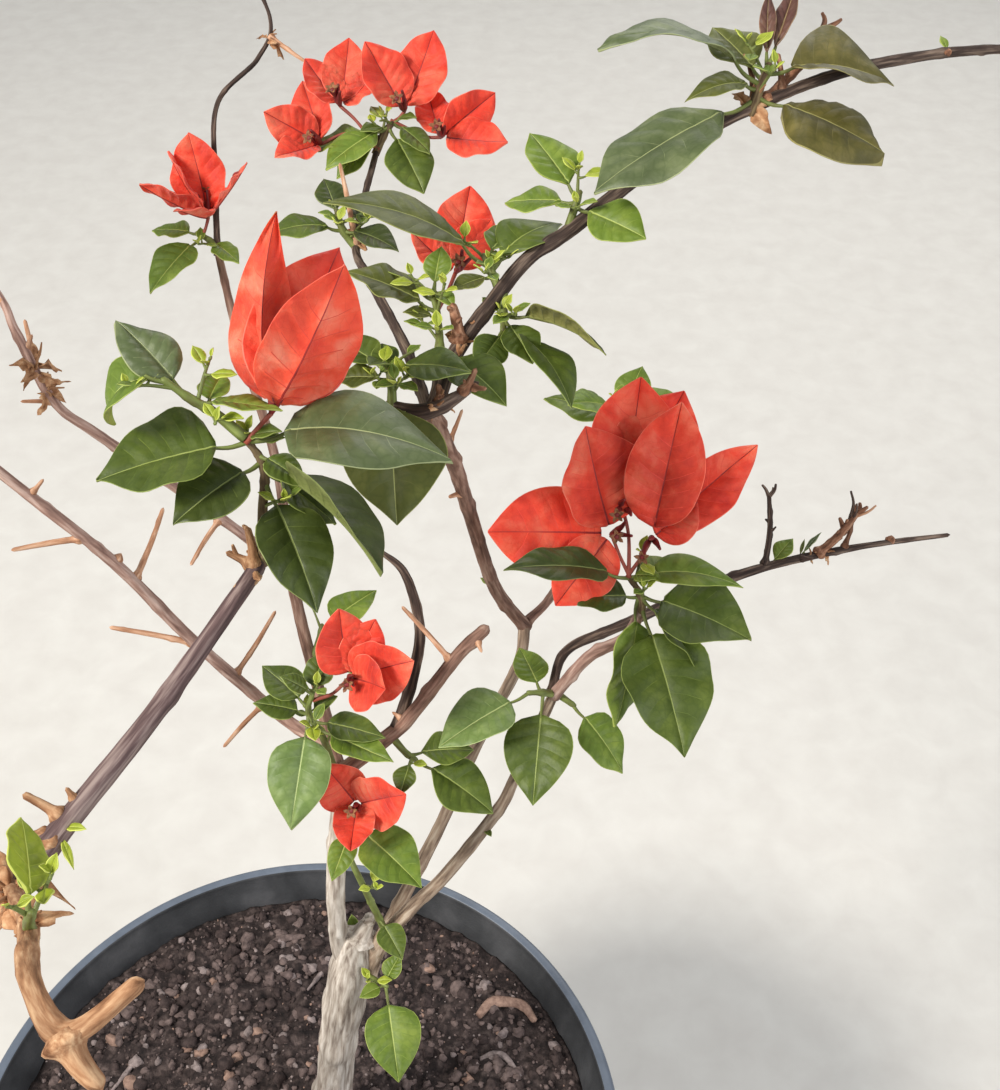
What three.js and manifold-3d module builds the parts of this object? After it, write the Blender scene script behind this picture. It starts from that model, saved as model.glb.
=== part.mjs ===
// A bougainvillea bush in its round plastic pot: trunk, boughs, thorny canes, leaf sprays and papery blooms.
// Millimetres, +Z up. The origin is the middle of the pot's flat underside. The front cane is on the -Y side.

import * as THREE from 'three';
import { mergeVertices } from 'three/addons/utils/BufferGeometryUtils.js';
import Module from 'manifold-3d';

const wasm = await Module();
wasm.setup();

// Driving dimensions of the pot and its soil
const POT_HEIGHT = 275;
const RIM_RADIUS = 155;
const FOOT_RADIUS = 112;
const WALL = 3.5;
const FLOOR = 5;
const LIP_WIDTH = 6;
const LIP_DEPTH = 22;
const SOIL_BELOW_RIM = 12;
const SOIL_MOUND = 4;
const SOIL_LUMP = 2.2;
const SEAT_RADIUS = 26;
const SEAT_BLEND = 46;
const POT_SIDES = 36;
const EDGE_ROUND = 2;
const LIP_INSIDE_DEPTH = 14;
const SOIL_EDGE_DROP = 4;
const SOIL_RINGS = [0.93, 0.8, 0.67, 0.54, 0.41, 0.22, 0];

// Clearance between neighbouring solids, and the plant's general sizes
const GAP = 0.3;
const CLEAR_OF_LIMB = 0.8;
const SPUR_CLEAR = 1.3;
const TRUNK_SIDES = 12;
const LIMB_SIDES = 6;
const TWIG_SIDES = 3;
const BLADE_SIDES = 4;
const SPUR_TAPER = [1, 0.8, 0.35];
const STEM_RADII = [1.5, 1.2, 0.8];
const STALK_RADII = [0.7, 0.7];
const STEPS_PER_SPAN = 2;
const LOOK_AHEAD = 0.01;
const LEAF_HALF_WIDTH = 0.3;
const LEAF_STALK = 0.2;
const LEAST_STALK_RADIUS = 0.45;
const LEAF_THICKNESS = 0.7;
const LEAF_FOLD = 0.28;
const DROOP_PULL = 0.35;
const BRACT_HALF_WIDTH = 0.37;
const BRACT_THICKNESS = 0.6;
const BRACT_FOLD = 0.45;
const BRACT_STALK = 0.08;
const BRACT_CUP = 0.12;
const GOLDEN_TURN = 137.5;
const TURN_SPREAD = 30;
const SMALL_LEAF = 20;
const TIDY = 0.08;

// Limbs. A route is a few places along the axis as [x, y, height above the rim].
// The radii are spread evenly along it.
const LIMBS = [
  { "name": "trunk", "wood": "pale", "radii": [14, 9.3, 8.6, 8.2, 9.4, 5],
    "route": [[14, 15, -20], [15, 15, -8], [19, 15, 25], [26, 15, 75], [34, 15, 125], [38, 16, 153]] },
  { "name": "left_limb", "wood": "pale", "radii": [4.4, 3.7, 3.5, 3.2],
    "route": [[33, 15, 122], [31, 15, 150], [34, 12, 200], [38, 17, 235], [40, 20, 252]] },
  { "name": "bough_front", "wood": "bark", "radii": [4.3, 3.6, 2.6, 2.4, 2.2, 2.0],
    "route": [[40, 15, 118], [48, 15, 146], [62, 16, 170], [75, 17, 189], [96, 27, 218], [103, 33, 232],
      [117, 47, 263]] },
  { "name": "bough_back", "wood": "bark", "radii": [2.9, 2.6, 2.4, 2.3],
    "route": [[50, 17, 150], [60, 27, 168], [73, 42, 189], [89, 62, 220], [104, 80, 242],
      [107, 92, 254]] },
  { "name": "bough_right", "wood": "brown", "radii": [2.2, 2.1, 1.8],
    "route": [[117, 47, 262], [129, 46, 284], [141, 44, 296], [146, 43, 311]] },
  { "name": "bare_right_twig", "wood": "dark", "radii": [1.7, 1.9, 2.1, 1.5, 0.8],
    "route": [[116, 48, 263], [122, 62, 270], [142, 70, 275], [190, 92, 281], [236, 106, 282],
      [277, 117, 279]] },
  { "name": "main_limb", "wood": "brown", "radii": [2.7, 2.5, 2.6, 2.7],
    "route": [[107, 92, 252], [95, 85, 281], [87, 69, 330], [83, 53, 365], [79, 37, 393],
      [77, 28, 408]] },
  { "name": "cross_stub", "wood": "dark", "radii": [2.4, 2.3, 1.9, 0.9],
    "route": [[65, 25, 411], [76, 20, 414], [84, 22, 417], [91, 26, 420]] },
  { "name": "arch_bough_inner", "wood": "dark", "radii": [2.7, 2.4, 2.2, 1.8],
    "route": [[78, 31, 407], [81, 40, 413], [87, 50, 419], [104, 68, 433], [117, 74, 440], [141, 86, 454],
      [160, 89, 467]] },
  { "name": "arch_bough_outer", "wood": "dark", "radii": [1.8, 1.7, 1.6, 1.3, 0.9],
    "route": [[160, 89, 467], [189, 100, 475], [218, 114, 476], [254, 131, 472], [296, 149, 462],
      [332, 164, 446]] },
  { "name": "stub_stem", "wood": "dark", "radii": [3.0, 2.6, 2.5, 2.2],
    "route": [[39, 20, 250], [59, 28, 264], [66, 29, 273], [82, 36, 295], [93, 40, 306]] },
  { "name": "knee_stem", "wood": "dark", "radii": [2.3, 2.1, 1.8, 0.8],
    "route": [[60, 29, 265], [66, 42, 280], [68, 54, 292], [63, 63, 309], [53, 66, 319]] },
  { "name": "back_left_stem", "wood": "brown", "radii": [2.6, 2.2, 1.8, 1.5],
    "route": [[38, 22, 250], [30, 48, 260], [18, 86, 279], [9, 129, 307], [-6, 165, 336],
      [-16, 194, 362]] },
  { "name": "top_twig", "wood": "dark", "radii": [1.4, 1.0, 0.9, 0.6],
    "route": [[-16, 193, 361], [-17, 214, 384], [-16, 234, 406], [0, 246, 419], [5, 257, 431],
      [-8, 270, 455]] },
  { "name": "inner_stem", "wood": "dark", "radii": [1.9, 1.6, 1.3, 1.1],
    "route": [[76, 31, 406], [68, 60, 408], [55, 95, 410], [48, 120, 408], [50, 147, 414],
      [53, 166, 420]] },
  { "name": "thorny_branch_upper", "wood": "brown", "radii": [2.1, 1.8, 1.6, 0.9],
    "route": [[14, 93, 284], [-4, 90, 309], [-42, 88, 351], [-56, 89, 366], [-67, 100, 387],
      [-74, 110, 397], [-100, 132, 428]] },
  { "name": "thorny_branch_lower", "wood": "brown", "radii": [2.4, 2.2, 2.0, 1.7, 0.9],
    "route": [[34, 30, 252], [15, 42, 257], [-10, 40, 298], [-31, 40, 336], [-54, 41, 366],
      [-84, 44, 402], [-108, 46, 424]] },
  { "name": "cane_foot", "wood": "brown", "radii": [4.6, 4.2, 4.0, 3.8],
    "route": [[19, 13, 0], [-8, -18, 22], [-40, -50, 62], [-65, -85, 150], [-74, -115, 230],
      [-72, -131, 290]] },
  { "name": "cane_arch", "wood": "brown", "radii": [3.8, 3.7, 3.4, 2.8, 2.2],
    "route": [[-72, -131, 290], [-58, -136, 335], [-36, -131, 366], [-17, -120, 379], [-6, -102, 384],
      [14, -70, 393], [35, -32, 405]] },
  { "name": "back_stem", "wood": "brown", "radii": [1.9, 1.6, 1.3],
    "route": [[108, 93, 254], [119, 108, 256], [136, 150, 259], [148, 186, 267]] },
  { "name": "dead_fork", "wood": "dead", "radii": [1.8, 2.1, 2.2, 1.6],
    "route": [[-14, -117, 383], [2, -142, 409], [14, -168, 431], [23, -178, 431], [36, -172, 438]] }
];

// Thorns and dead spurs, fused to their limb: [place along the limb 0 to 1, turn, rise, length, radius]
const SPURS = {
  "trunk": [[0.93, 20, 60, 15, 3.0]],
  "cross_stub": [[0.75, 30, 55, 9, 0.8]],
  "main_limb": [[0.72, 40, 60, 13, 0.5], [0.5, -118, 29, 11, 0.7]],
  "arch_bough_inner": [[0.3, 110, 62, 13, 1.3]],
  "arch_bough_outer": [[0.1, 50, 22, 34, 1.0], [0.08, 95, 39, 15, 0.7]],
  "stub_stem": [[0.72, 160, 50, 28, 0.6], [0.9, -70, -24, 6, 0.6]],
  "bare_right_twig": [[0.64, 83, 37, 29, 0.9], [0.73, 35, 32, 24, 1.3], [0.78, 70, 35, 17, 0.7]],
  "thorny_branch_upper": [[0.18, -111, -10, 23, 0.7], [0.5, -171, 7, 11, 0.6], [0.58, 108, 25, 20, 0.7]],
  "thorny_branch_lower": [[0.66, 38, 34, 7, 0.6], [0.56, -164, 1, 23, 0.8], [0.46, 73, 25, 28, 0.8],
    [0.33, -178, 18, 30, 0.8], [0.26, 54, 30, 28, 0.7], [0.2, -130, -15, 22, 0.7]],
  "cane_arch": [[0.99, 160, 20, 9, 0.9], [0.68, 163, 33, 12, 1.0]],
  "inner_stem": [[0.6, 108, 56, 28, 0.7]],
  "top_twig": [[0.72, -30, -22, 18, 0.5]],
  "dead_fork": [[0.72, -45, -30, 12, 1.8]]
};

// Sprays. The stem is a short route. Each leaf is [place along the stem, turn, rise, length, droop, roll].
// "more" leaves are added by the seeded rule, "size" mm long.
const SPRAYS = [
  { "name": "front_spray", "stem": [[35, -32, 405], [36, -27, 418], [37, -23, 429], [33, -21, 437]],
    "more": 1, "size": 11, "seed": 11,
    "leaves": [[0.95, -165, 2, 40, 0.1, 0], [0.72, -138, 0, 29, 0.15, 0], [0.95, -4, 28, 53, 0.6, 0],
      [0.72, -31, -4, 47, 0.25, -45], [0.55, -60, -20, 39, 0.15, -10], [0.65, -4, -40, 26, 0.1, 0],
      [0.8, -33, 4, 16, 0.3, 0]] },
  { "name": "left_curl_spray", "stem": [[32, -21, 438], [26, -19, 443], [20, -18, 447], [14, -17, 452]],
    "more": 0, "size": 10, "seed": 12,
    "leaves": [[0.95, -170, 34, 24, 0.9, 0], [0.7, 140, 38, 27, 0.1, 0], [0.45, 79, 15, 14, 0.1, 0],
      [0.6, -4, 4, 23, 0.1, -25]] },
  { "name": "centre_spray", "stem": [[66, 25, 413], [66, 28, 418], [65, 31, 422]],
    "more": 2, "size": 12, "seed": 13,
    "leaves": [[0.5, -88, -12, 44, 0.35, 0], [0.8, 140, 15, 24, 0.2, 0], [0.9, -18, 28, 27, 0.25, 0],
      [0.6, 170, 6, 18, 0.2, 0]] },
  { "name": "centre_shoot", "stem": [[79, 38, 414], [79, 50, 420], [77, 63, 427]],
    "more": 2, "size": 11, "seed": 14,
    "leaves": [[0.75, 172, 38, 31, 0.2, 0], [0.88, 138, 16, 28, 0.2, 40], [0.98, 81, 44, 15, 0.1, 0],
      [0.35, -20, 22, 32, 0.4, 0], [0.2, -46, 24, 30, 0.4, 0]] },
  { "name": "arch_spray_low", "stem": [[97, 61, 427], [95, 66, 430], [92, 70, 435]],
    "more": 0, "size": 9, "seed": 15,
    "leaves": [[0.7, -177, 53, 56, 0.4, 0], [0.7, 36, 28, 34, 0.35, 0], [0.9, 60, 20, 20, 0.2, 0],
      [0.5, -150, 10, 15, 0.2, 0]] },
  { "name": "arch_spray_under", "stem": [[98, 62, 428], [98, 56, 423], [98, 51, 420]],
    "more": 0, "size": 9, "seed": 16,
    "leaves": [[0.5, -24, 16, 39, 0.3, -50], [0.6, -64, 2, 21, 0.2, 0], [0.95, -42, 14, 37, 0.45, -35],
      [0.95, -109, 4, 19, 0.2, -30]] },
  { "name": "arch_spray_mid", "stem": [[117, 74, 440], [119, 78, 445], [121, 81, 450]],
    "more": 0, "size": 9, "seed": 17,
    "leaves": [[0.8, 122, 30, 28, 0.1, 0], [0.6, -45, 8, 27, 0.2, 20],
      [0.7, 158, -2, 24, 0.1, 0]] },
  { "name": "arch_tip_spray", "stem": [[171, 92, 470], [173, 95, 475], [176, 100, 481]],
    "more": 0, "size": 12, "seed": 18,
    "leaves": [[0.6, -179, 54, 56, 0.6, 25], [0.3, -150, -4, 60, 0.15, 0], [0.5, -167, 36, 23, 0.6, 0],
      [0.8, -1, 22, 40, 0.4, 0], [0.35, -30, 0, 43, 0.15, 0], [0.9, 90, 42, 24, 0.0, 0],
      [0.98, 65, 34, 29, 0.0, 0], [0.7, 120, 22, 27, 0.1, 0]] },
  { "name": "inner_spray", "stem": [[48, 120, 408], [44, 122, 413], [42, 124, 420]],
    "more": 0, "size": 10, "seed": 19,
    "leaves": [[0.5, -166, 30, 27, 0.4, 0], [0.8, 109, 27, 19, 0.1, 0], [0.5, -28, 16, 23, 0.3, 0],
      [0.7, 40, 8, 20, 0.2, 0]] },
  { "name": "top_spray", "stem": [[53, 166, 420], [56, 170, 425], [59, 172, 428]],
    "more": 2, "size": 12, "seed": 20,
    "leaves": [[0.8, -138, 0, 31, 0.2, 0], [0.95, -39, -4, 20, 0.2, 0], [0.7, -60, -14, 31, 0.2, 0],
      [0.4, 178, 0, 30, 0.2, 0], [0.4, -150, -16, 24, 0.2, 0]] },
  { "name": "left_back_spray", "stem": [[-15, 194, 362], [-19, 196, 366], [-24, 197, 369]],
    "more": 0, "size": 11, "seed": 21,
    "leaves": [[0.8, -125, -8, 34, 0.2, 0], [0.9, -10, 30, 20, 0.3, 0], [0.5, -40, 0, 18, 0.2, 0],
      [0.9, 165, 8, 22, 0.2, 0]] },
  { "name": "right_spray", "stem": [[146, 43, 310], [145, 45, 317], [141, 47, 323]],
    "more": 1, "size": 11, "seed": 22,
    "leaves": [[0.15, -72, -20, 56, 0.12, 0], [0.45, -29, 10, 43, 0.2, 0], [0.4, -172, 16, 27, 0.2, 0],
      [0.95, -162, 37, 53, 0.2, 0], [0.9, -14, 16, 39, 0.4, 0], [0.85, 35, 0, 25, 0.2, 0],
      [0.5, -40, -26, 38, 0.1, -30], [0.5, -106, -30, 50, 0.1, -50]] },
  { "name": "low_spray", "stem": [[37, 20, 252], [34, 22, 268], [30, 23, 280], [32, 24, 289]],
    "more": 2, "size": 12, "seed": 23,
    "leaves": [[0.66, -97, -26, 42, 0.15, 0], [0.75, 140, 26, 25, 0.2, 0], [0.65, 175, 22, 21, 0.2, 0],
      [0.95, 76, 26, 19, 0.1, 0], [0.55, -24, -12, 28, 0.2, 0], [0.45, -52, -4, 32, 0.3, 0]] },
  { "name": "low_front_spray", "stem": [[50, 13, 160], [45, 8, 195], [41, 6, 222], [44, 6, 240]],
    "more": 0, "size": 9, "seed": 24,
    "leaves": [[0.22, 165, 5, 20, 0.1, 0], [0.08, -55, -6, 20, 0.2, 0], [0.97, -40, 0, 36, 0.25, 0],
      [0.95, -105, -8, 22, 0.1, 0]] },
  { "name": "stub_spray", "stem": [[58, 27, 262], [63, 23, 258], [67, 21, 256]],
    "more": 0, "size": 9, "seed": 25,
    "leaves": [[0.9, -28, -6, 36, 0.2, 0], [0.6, 8, 12, 25, 0.2, 0], [0.8, -110, -8, 15, 0.2, 0]] },
  { "name": "middle_spray", "stem": [[116, 46, 264], [112, 43, 268], [107, 41, 270]],
    "more": 0, "size": 10, "seed": 26,
    "leaves": [[0.95, -146, 4, 41, 0.15, 0], [0.4, -97, -22, 43, 0.12, 0], [0.5, 110, 18, 22, 0.1, 0]] },
  { "name": "middle_back_spray", "stem": [[118, 48, 262], [122, 46, 260], [125, 45, 258]],
    "more": 0, "size": 9, "seed": 27,
    "leaves": [[0.8, -40, -24, 34, 0.2, 0]] },
  { "name": "stem_spray", "stem": [[27, 62, 267], [29, 67, 272], [30, 70, 276]],
    "more": 0, "size": 10, "seed": 28,
    "leaves": [[0.8, 43, 14, 28, 0.1, 0], [0.7, -50, -4, 24, 0.1, 0]] },
  { "name": "trunk_shoot", "stem": [[38, 13, 126], [46, 6, 131], [51, 2, 133]],
    "more": 0, "size": 8, "seed": 29,
    "leaves": [[0.9, -79, -20, 39, 0.1, 0], [0.85, -150, 10, 12, 0.1, 0], [0.8, 54, 40, 15, 0.1, 0]] },
  { "name": "young_cane_spray", "stem": [[6, -149, 415], [7, -150, 421], [9, -151, 426]],
    "more": 0, "size": 10, "seed": 30,
    "leaves": [[0.8, 100, 14, 22, 0.1, 60]] },
  { "name": "upper_branch_tip", "stem": [[-99, 131, 427], [-104, 136, 433], [-108, 142, 441]],
    "more": 6, "size": 24, "seed": 31,
    "leaves": [] },
  { "name": "lower_branch_tip", "stem": [[-107, 46, 423], [-114, 46, 429], [-120, 45, 437]],
    "more": 5, "size": 24, "seed": 32,
    "leaves": [] },
  { "name": "arch_end_spray", "stem": [[330, 163, 447], [338, 167, 442], [345, 171, 440]],
    "more": 6, "size": 32, "seed": 33,
    "leaves": [] },
  { "name": "back_spray", "stem": [[147, 184, 266], [150, 192, 272], [151, 199, 280]],
    "more": 6, "size": 32, "seed": 34,
    "leaves": [] },
  { "name": "cane_foot_spray", "stem": [[-66, -87, 152], [-76, -86, 160], [-83, -84, 170]],
    "more": 5, "size": 32, "seed": 35,
    "leaves": [] }
];

// Blooms. Each head has a stalk route, then the bracts round its end: [turn, rise, length, roll].
// The axis is where the head looks. Heads of one cluster grow from one foot.
const BLOOMS = [
  { "name": "bloom_front", "heads": [
    { "stalk": [[34, -22, 437], [37, -20, 440], [40, -19, 443]], "axis": [70, 48],
      "bracts": [[95, 52, 47, 55], [40, 56, 36, 0], [70, 30, 46, 0], [98, 42, 40, 0]] }] },
  { "name": "bloom_right", "heads": [
    { "stalk": [[141, 47, 324], [138, 52, 328], [135, 57, 334]], "axis": [-70, 45],
      "bracts": [[-140, -38, 30, 0], [-176, 6, 42, 0], [122, 55, 37, 0]] },
    { "stalk": [[141, 47, 324], [141, 57, 333], [139, 65, 339]], "axis": [-90, 40],
      "bracts": [[92, 48, 42, 0], [52, 40, 43, 0]] },
    { "stalk": [[141, 47, 324], [146, 52, 329], [149, 56, 333]], "axis": [-100, 30],
      "bracts": [[70, 58, 46, 0], [38, 24, 46, 0], [0, 4, 20, 0]] }] },
  { "name": "bloom_arch", "heads": [
    { "stalk": [[78, 57, 423], [81, 72, 421], [83, 84, 420]], "axis": [-60, 60],
      "bracts": [[82, 32, 28, 0], [52, 28, 20, 0], [160, 36, 18, 0]] }] },
  { "name": "bloom_top_right", "heads": [
    { "stalk": [[59, 172, 428], [61, 173, 429], [63, 174, 431]], "axis": [-90, 60],
      "bracts": [[62, 40, 29, 0], [138, 46, 26, 0], [100, 30, 23, 0]] },
    { "stalk": [[59, 172, 428], [70, 169, 424], [76, 168, 424]], "axis": [-90, 60],
      "bracts": [[-14, 0, 24, 0], [30, 30, 24, 50], [110, 30, 19, 0]] }] },
  { "name": "bloom_top_left", "heads": [
    { "stalk": [[53, 166, 421], [43, 171, 424], [33, 169, 421]], "axis": [-120, 50],
      "bracts": [[176, 30, 22, 0], [112, 46, 22, 0], [-140, 2, 20, 0]] },
    { "stalk": [[53, 166, 421], [46, 172, 428], [40, 176, 432]], "axis": [-90, 70],
      "bracts": [[80, 38, 24, 0], [140, 34, 20, 0], [20, 30, 18, 0]] }] },
  { "name": "bloom_left_back", "heads": [
    { "stalk": [[-21, 197, 369], [-20, 198, 371], [-19, 200, 374]], "axis": [110, 60],
      "bracts": [[105, 50, 32, 0], [-165, 30, 28, 0], [40, 34, 26, 0], [150, 48, 28, 0],
        [-110, 30, 22, 0]] }] },
  { "name": "bloom_low_upper", "heads": [
    { "stalk": [[33, 24, 286], [39, 25, 288], [45, 27, 294]], "axis": [-80, 40],
      "bracts": [[108, 56, 24, 0], [2, 22, 24, 0], [55, 50, 22, 0], [-50, 4, 17, 0]] }] },
  { "name": "bloom_low_front", "heads": [
    { "stalk": [[44, 6, 238], [45, 6, 243], [46, 7, 249]], "axis": [-90, 35],
      "bracts": [[150, 50, 19, 0], [-8, 30, 21, 0], [-95, -12, 18, 0]] }] }
];

const radians = THREE.MathUtils.degToRad;
const vector = ([x, y, z]) => new THREE.Vector3(x, y, z);
const aboveRim = ([x, y, height]) => new THREE.Vector3(x, y, height + POT_HEIGHT);

// A repeatable stream of numbers between 0 and 1
function seeded(seed) {
  let state = seed * 7919 + 17;
  return () => {
    state = (state * 48271) % 2147483647;
    return state / 2147483647;
  };
}

// The direction of a compass turn from +X and a rise above level
function direction(turn, rise) {
  const level = Math.cos(radians(rise));
  const [x, y] = [Math.cos(radians(turn)) * level, Math.sin(radians(turn)) * level];
  return new THREE.Vector3(x, y, Math.sin(radians(rise)));
}

// A closed geometry becomes a solid that can be joined and cut
function toSolid(geometry) {
  geometry.deleteAttribute('normal');
  geometry.deleteAttribute('uv');
  const merged = mergeVertices(geometry, 1e-4);
  const index = merged.index.array;
  const kept = [];
  for (let i = 0; i < index.length; i += 3) {
    const [a, b, c] = [index[i], index[i + 1], index[i + 2]];
    if (a !== b && b !== c && c !== a) kept.push(a, b, c);
  }
  const vertProperties = new Float32Array(merged.attributes.position.array);
  const mesh = new wasm.Mesh({ numProp: 3, vertProperties, triVerts: new Uint32Array(kept) });
  return new wasm.Manifold(mesh);
}

function toGeometry(solid) {
  const mesh = solid.getMesh();
  const geometry = new THREE.BufferGeometry();
  geometry.setAttribute('position', new THREE.BufferAttribute(new Float32Array(mesh.vertProperties), 3));
  geometry.setIndex(new THREE.BufferAttribute(new Uint32Array(mesh.triVerts), 1));
  geometry.computeVertexNormals();
  return geometry;
}

// Keeps the largest body and drops the scraps that a cut leaves
function largest(solid) {
  const bodies = solid.decompose();
  return bodies.reduce((best, body) => (body.volume() > best.volume() ? body : best), bodies[0]);
}

// A lathe of a radius profile, whose rows are then moved onto an axis:
// place(row, across, depth) gives each vertex
function bentLathe(radii, sides, place) {
  const last = radii.length - 1;
  const profile = radii.map((radius, row) => new THREE.Vector2(radius, row));
  if (radii[0] > 0) profile.unshift(new THREE.Vector2(0, 0));
  if (radii[last] > 0) profile.push(new THREE.Vector2(0, last));
  const lathe = new THREE.LatheGeometry(profile, sides);
  const positions = lathe.attributes.position;
  for (let i = 0; i < positions.count; i += 1) {
    const point = place(Math.round(positions.getY(i)), positions.getX(i), positions.getZ(i));
    positions.setXYZ(i, point.x, point.y, point.z);
  }
  return toSolid(lathe);
}

// Centres and frames along a route, and the radius at each
function axisOf(route, radii, stepsPerSpan = STEPS_PER_SPAN) {
  const curve = new THREE.CatmullRomCurve3(route.map(aboveRim), false, 'catmullrom', 0.5);
  const steps = (route.length - 1) * stepsPerSpan;
  const rows = [];
  let across = null;
  for (let step = 0; step <= steps; step += 1) {
    const share = step / steps;
    const centre = curve.getPoint(share);
    const ahead = curve.getPoint(Math.min(1, share + LOOK_AHEAD));
    const along = ahead.sub(curve.getPoint(Math.max(0, share - LOOK_AHEAD))).normalize();
    if (!across) across = new THREE.Vector3(0, 1, 0).cross(along).normalize();
    across = across.clone().addScaledVector(along, -across.dot(along)).normalize();
    const depth = across.clone().cross(along);
    const place = share * (radii.length - 1);
    const low = Math.min(radii.length - 2, Math.floor(place));
    const radius = radii[low] + (radii[low + 1] - radii[low]) * (place - low);
    rows.push({ centre, along, across, depth, radius });
  }
  return { curve, rows };
}

// A tapering round limb along its axis, made fatter by "extra" all round
function limbSolid(axis, sides, extra = 0) {
  const { rows } = axis;
  const radii = rows.map((row) => row.radius + extra);
  return bentLathe(radii, sides, (row, across, depth) => {
    const { centre, along, across: side, depth: out } = rows[row];
    const point = centre.clone().addScaledVector(side, across).addScaledVector(out, depth);
    if (row === 0) point.addScaledVector(along, -extra);
    if (row === rows.length - 1) point.addScaledVector(along, extra);
    return point;
  });
}

// A thorn or dead spur: a slim cone that starts inside its limb
function spurSolid(axis, [place, turn, rise, length, radius]) {
  const foot = axis.curve.getPoint(place);
  const aim = direction(turn, rise);
  const side = aim.clone().cross(new THREE.Vector3(0, 0, 1)).normalize();
  const out = side.clone().cross(aim);
  return bentLathe(SPUR_TAPER.map((share) => share * radius), BLADE_SIDES, (row, across, depth) =>
    foot.clone()
      .addScaledVector(aim, (length * row) / (SPUR_TAPER.length - 1))
      .addScaledVector(side, across)
      .addScaledVector(out, depth));
}

// Half widths of a blade along its length, as shares of its widest half
const LEAF_OUTLINE = [[0.18, 0.88], [0.5, 0.96], [1, 0]];
const SMALL_OUTLINE = [[0.4, 1], [1, 0]];
const BRACT_OUTLINE = [[0.2, 0.86], [0.6, 0.96], [1, 0]];

// A leaf or bract: a short stalk, then a thin blade folded along its midrib and drooping to its tip
function bladeSolid({ foot, aim, side, length, stalk, outline, halfWidth, thickness, fold, droop }) {
  const up = side.clone().cross(aim);
  const stalkRadius = Math.max(LEAST_STALK_RADIUS, thickness * 0.8);
  const stations = [[-stalk, stalkRadius, stalkRadius], [-0.01, stalkRadius, stalkRadius]];
  outline.forEach(([place, width]) => stations.push([place, width * halfWidth, thickness / 2]));
  const blade = length - stalk;
  return bentLathe(stations.map((station) => station[1]), BLADE_SIDES, (row, across, depth) => {
    const [place, width, halfDepth] = stations[row];
    const along = row === 0 ? 0 : stalk + Math.max(0, place) * blade;
    const drop = droop * length * (along / length) ** 2;
    const thick = width > 0 ? (depth / width) * halfDepth : 0;
    return foot.clone()
      .addScaledVector(aim, along - drop * DROOP_PULL)
      .addScaledVector(side, across * (row < 2 ? 1 : Math.cos(fold)))
      .addScaledVector(up, thick - drop + (row < 2 ? 0 : Math.abs(across) * Math.sin(fold)));
  });
}

function levelSide(aim, roll) {
  const side = aim.clone().cross(new THREE.Vector3(0, 0, 1)).normalize();
  return side.applyAxisAngle(aim, radians(roll));
}

// True where a leaf's middle or edges would touch a limb
function touchesLimb(leaf, axes) {
  const up = leaf.side.clone().cross(leaf.aim);
  for (const share of [0.35, 0.6, 0.8, 1]) {
    const drop = leaf.droop * leaf.length * share ** 2;
    const middle = leaf.foot.clone()
      .addScaledVector(leaf.aim, leaf.length * share - drop * DROOP_PULL)
      .addScaledVector(up, -drop);
    const reach = share < 1 ? leaf.halfWidth : 0;
    for (const offset of [-reach, 0, reach]) {
      const point = middle.clone().addScaledVector(leaf.side, offset);
      for (const axis of axes) {
        const near = (row) => row.centre.distanceTo(point) < row.radius + CLEAR_OF_LIMB;
        if (axis.rows.some(near)) return true;
      }
    }
  }
  return false;
}

// The leaves of one spray: those with their own place, then the seeded ones
function leavesOf(spray, axis) {
  const random = seeded(spray.seed);
  const rows = spray.leaves.slice();
  const first = 360 * random();
  for (let k = 0; k < spray.more; k += 1) {
    const place = 0.35 + (0.65 * (k + 1)) / spray.more;
    const turn = first + GOLDEN_TURN * k + TURN_SPREAD * (random() - 0.5);
    const rise = 10 + 45 * random() * place;
    const length = spray.size * (0.75 + 0.5 * random());
    rows.push([Math.min(1, place), turn, rise, length, 0.1 + 0.25 * random(), 0]);
  }
  return rows.map(([place, turn, rise, length, droop, roll]) => {
    const aim = direction(turn, rise);
    const side = levelSide(aim, roll);
    const foot = axis.curve.getPoint(place);
    return { foot, aim, side, length, droop, halfWidth: length * LEAF_HALF_WIDTH };
  });
}

function leafSolid(leaf) {
  const outline = leaf.length > SMALL_LEAF ? LEAF_OUTLINE : SMALL_OUTLINE;
  const stalk = leaf.length * LEAF_STALK;
  return bladeSolid({ ...leaf, stalk, outline, thickness: LEAF_THICKNESS, fold: LEAF_FOLD });
}

// A bract's hollow side looks towards the bloom's axis
function bractSolid(foot, axisAim, [turn, rise, length, roll]) {
  const aim = direction(turn, rise);
  const inward = axisAim.clone().addScaledVector(aim, -axisAim.dot(aim)).normalize();
  const side = aim.clone().cross(inward).applyAxisAngle(aim, radians(roll));
  return bladeSolid({ foot, aim, side, length, stalk: length * BRACT_STALK, outline: BRACT_OUTLINE,
    halfWidth: length * BRACT_HALF_WIDTH, thickness: BRACT_THICKNESS, fold: BRACT_FOLD, droop: -BRACT_CUP });
}

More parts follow.
